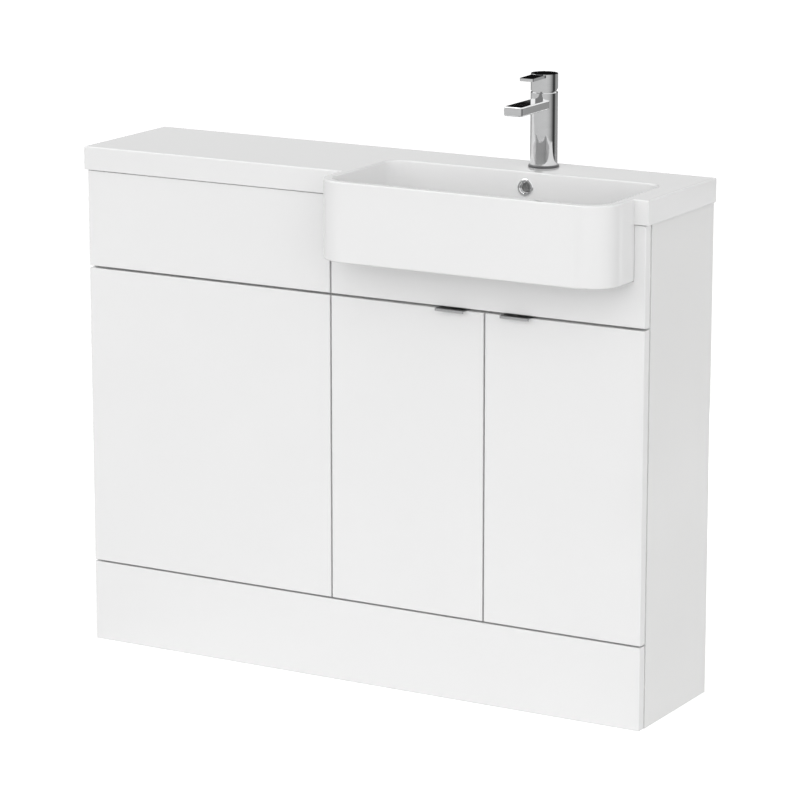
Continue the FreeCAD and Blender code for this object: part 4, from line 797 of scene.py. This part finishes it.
class VANITY_OT_stage(bpy.types.Operator):
    """Sets up the floor, the world, the lamp, the things that only the gloss mirrors, and the camera"""

    bl_idname = "vanity.stage"
    bl_label = "Studio"

    def execute(self, context):
        studio = context.scene.vanity_studio
        self.floor(context, studio)
        self.world(context, studio)
        self.back_lamp(context, studio)
        self.cards(context, studio)
        self.surround(context)
        self.camera(context, studio)
        context.scene.view_settings.view_transform = "Standard"
        return {"FINISHED"}

    def floor(self, context, studio):
        """A wide floor, lifted to white for the camera and the gloss."""
        material = empty_material("studio_floor")
        tree = material.node_tree
        matt = put(tree, "ShaderNodeBsdfDiffuse", {"Color": (*studio.floor, 1.0)})
        path = put(tree, "ShaderNodeLightPath")
        seen = calc(tree, "MAXIMUM", path.outputs["Is Camera Ray"], path.outputs["Is Glossy Ray"])
        lift = calc(tree, "MULTIPLY", seen, studio.floor_lift)
        glow = put(tree, "ShaderNodeEmission", {"Strength": lift})
        both = put(tree, "ShaderNodeAddShader", {0: matt.outputs["BSDF"], 1: glow.outputs["Emission"]})
        put(tree, "ShaderNodeOutputMaterial", {"Surface": both.outputs["Shader"]})
        self.flat("studio_floor", context, Matrix.Identity(4), FLOOR_WIDTH, FLOOR_WIDTH, material)

    def flat(self, name, context, matrix, width, height, material):
        """A stage rectangle on the matrix's XY plane."""
        bm = bmesh.new()
        corners = ((-width, -height), (width, -height), (width, height), (-width, height))
        bm.faces.new([bm.verts.new(matrix @ Vector((x / 2.0, y / 2.0, 0.0))) for x, y in corners])
        return self.stand(bm, name, context, material)

    def stand(self, bm, name, context, material):
        """Turns a bmesh into an object of the stage."""
        mesh = bpy.data.meshes.new(name)
        bm.to_mesh(mesh)
        bm.free()
        mesh.materials.append(material)
        thing = bpy.data.objects.new(name, mesh)
        context.scene.collection.objects.link(thing)
        return thing

    def world(self, context, studio):
        """White for the camera and the gloss, and a leaning soft light for everything matt."""
        world = bpy.data.worlds.new("studio_world")
        world.use_nodes = True
        tree = world.node_tree
        tree.nodes.clear()
        path = put(tree, "ShaderNodeLightPath")
        seen = calc(tree, "MAXIMUM", path.outputs["Is Camera Ray"], path.outputs["Is Glossy Ray"])
        shown = calc(tree, "MAXIMUM", seen, path.outputs["Is Transmission Ray"])
        way = put(tree, "ShaderNodeTexCoord")
        lean = put(tree, "ShaderNodeVectorMath", {0: way.outputs["Generated"], 1: studio.lean},
                   operation="DOT_PRODUCT")
        leaning = calc(tree, "ADD", lean.outputs["Value"], studio.dome)
        dome = calc(tree, "MAXIMUM", leaning, 0.0)
        level = put(tree, "ShaderNodeMapRange", {"Value": shown, "To Min": dome, "To Max": 1.0})
        light = put(tree, "ShaderNodeBackground", {"Color": WHITE, "Strength": level.outputs["Result"]})
        put(tree, "ShaderNodeOutputWorld", {"Surface": light.outputs["Background"]})
        context.scene.world = world

    def back_lamp(self, context, studio):
        """A soft lamp behind the unit and below its worktop, which lights its back."""
        data = bpy.data.lights.new("back_lamp", "AREA")
        data.shape = "RECTANGLE"
        data.size = 1.4
        data.size_y = 0.6
        data.energy = studio.back_lamp
        lamp = bpy.data.objects.new("back_lamp", data)
        # An area lamp shines against its Z axis, so this one shines at the unit.
        lamp.matrix_world = facing((-0.1, 2.2, 0.5), TO_BACK)
        lamp.visible_camera = False
        lamp.visible_glossy = False
        context.scene.collection.objects.link(lamp)

    def cards(self, context, studio):
        """Cards hidden from the camera, which only the gloss of the object mirrors."""
        behind = facing((0.02, 0.5, 1.165), TO_FRONT)
        self.card("back_card", context, behind, width=0.34, height=0.20, level=0.005, fade=(0.28, 0.15))
        overhead = facing((-1.3, -0.2, 3.0), DOWN)
        self.card("overhead_card", context, overhead, width=2.6, height=2.4, level=studio.overhead)
        before = facing((-4.67, -8.0, 3.2), TO_BACK)
        self.card("front_card", context, before, width=14.66, height=4.0, level=0.22)

    def card(self, name, context, matrix, width, height, level, fade=None):
        """A glowing rectangle that only mirrored rays meet, its edges faded over shares of its sides."""
        material = empty_material(name)
        tree = material.node_tree
        shader = put(tree, "ShaderNodeEmission", {"Strength": level}).outputs["Emission"]
        if fade:
            clear = put(tree, "ShaderNodeBsdfTransparent").outputs["BSDF"]
            mixed = put(tree, "ShaderNodeMixShader", {0: self.inside(tree, fade), 1: clear, 2: shader})
            shader = mixed.outputs["Shader"]
        put(tree, "ShaderNodeOutputMaterial", {"Surface": shader})
        self.mirrored_only(self.flat(name, context, matrix, width, height, material))

    def inside(self, tree, fade):
        """A mask that falls from 1 inside an upright rectangle to 0 at its edges."""
        place = put(tree, "ShaderNodeTexCoord")
        parts = put(tree, "ShaderNodeSeparateXYZ", {"Vector": place.outputs["Generated"]})
        masks = []
        for axis, share in zip("XZ", fade):
            apart = calc(tree, "ABSOLUTE", calc(tree, "SUBTRACT", parts.outputs[axis], 0.5))
            limits = {"Value": apart, "From Min": 0.5, "From Max": 0.5 - share}
            falling = put(tree, "ShaderNodeMapRange", limits, interpolation_type="SMOOTHSTEP")
            masks.append(falling.outputs["Result"])
        return calc(tree, "MULTIPLY", *masks)

    def mirrored_only(self, thing):
        """Hides a thing from all rays but the mirrored ones."""
        for ray in ("camera", "diffuse", "shadow", "transmission"):
            setattr(thing, f"visible_{ray}", False)

    def surround(self, context):
        """A shaded floor ring, hidden from the camera, which the tap and the basin's apron mirror."""
        material = empty_material("shaded_ring")
        tree = material.node_tree
        place = put(tree, "ShaderNodeTexCoord")
        turn = put(tree, "ShaderNodeTexGradient", {"Vector": place.outputs["Object"]},
                   gradient_type="RADIAL")
        shade = put(tree, "ShaderNodeValToRGB", {"Fac": turn.outputs["Fac"]})
        ramp = shade.color_ramp.elements
        while len(ramp) < len(RING_STOPS):
            ramp.new(0.5)
        for element, (azimuth, level) in zip(ramp, RING_STOPS):
            element.position = (azimuth + 90.0) / 360.0
            element.color = (level, level, level, 1.0)
        glow = put(tree, "ShaderNodeEmission", {"Color": shade.outputs["Color"]})
        put(tree, "ShaderNodeOutputMaterial", {"Surface": glow.outputs["Emission"]})
        bm = bmesh.new()
        outer = ring_of(bm, Matrix.Identity(4), RING_OUTER, 0.0, RING_SIDES)
        inner = ring_of(bm, Matrix.Identity(4), RING_FAR, 0.0, RING_SIDES)
        for i, vertex in enumerate(inner):
            azimuth = (360.0 * i / RING_SIDES + 90.0) % 360.0
            if any(first <= azimuth <= last for first, last in RING_NEAR_SECTORS):
                vertex.co *= RING_NEAR / RING_FAR
        bridge(bm, inner, outer)
        ring = self.stand(bm, "shaded_ring", context, material)
        ring.matrix_world = Matrix.Translation((0.0, 0.0, RING_LEVEL)) @ upright_of("tap_body")
        self.mirrored_only(ring)

    def camera(self, context, studio):
        """The camera of the photo."""
        data = bpy.data.cameras.new("photo_camera")
        data.sensor_fit = "HORIZONTAL"
        data.angle = studio.field
        camera = bpy.data.objects.new("photo_camera", data)
        swing = Matrix.Rotation(studio.azimuth, 4, "Z")
        turn = swing @ Matrix.Rotation(math.pi / 2.0 - studio.elevation, 4, "X")
        back = turn @ Vector((0.0, 0.0, studio.camera_distance))
        camera.matrix_world = Matrix.Translation(Vector(studio.target) + back) @ turn
        context.scene.collection.objects.link(camera)
        context.scene.camera = camera


class VANITY_PT_panel(bpy.types.Panel):
    """Lists the steps that dress the vanity unit"""

    bl_label = "Vanity unit"
    bl_idname = "VANITY_PT_panel"
    bl_space_type = "VIEW_3D"
    bl_region_type = "UI"
    bl_category = "Vanity unit"

    def draw(self, context):
        for step in STEPS:
            self.layout.operator(step.bl_idname)
        for group, kind in SETTINGS.items():
            box = self.layout.box()
            for name in kind.__annotations__:
                box.prop(getattr(context.scene, group), name)


STEPS = (VANITY_OT_fronts, VANITY_OT_carcasses, VANITY_OT_worktop, VANITY_OT_tap, VANITY_OT_waste,
         VANITY_OT_hinges, VANITY_OT_pulls, VANITY_OT_stage)
SETTINGS = {
    "vanity_finishes": VanityFinishes,
    "vanity_fittings": VanityFittings,
    "vanity_studio": VanityStudio,
}


def register():
    for kind in (*SETTINGS.values(), *STEPS, VANITY_PT_panel):
        bpy.utils.register_class(kind)
    for name, kind in SETTINGS.items():
        setattr(bpy.types.Scene, name, bpy.props.PointerProperty(type=kind))


def unregister():
    for name in SETTINGS:
        delattr(bpy.types.Scene, name)
    for kind in (VANITY_PT_panel, *reversed(STEPS), *reversed(SETTINGS.values())):
        bpy.utils.unregister_class(kind)


def main():
    register()
    bpy.ops.vanity.fronts()
    bpy.ops.vanity.carcasses()
    bpy.ops.vanity.worktop()
    bpy.ops.vanity.tap()
    bpy.ops.vanity.waste()
    bpy.ops.vanity.hinges()
    bpy.ops.vanity.pulls()
    bpy.ops.vanity.stage()


if __name__ == "__main__":
    main()
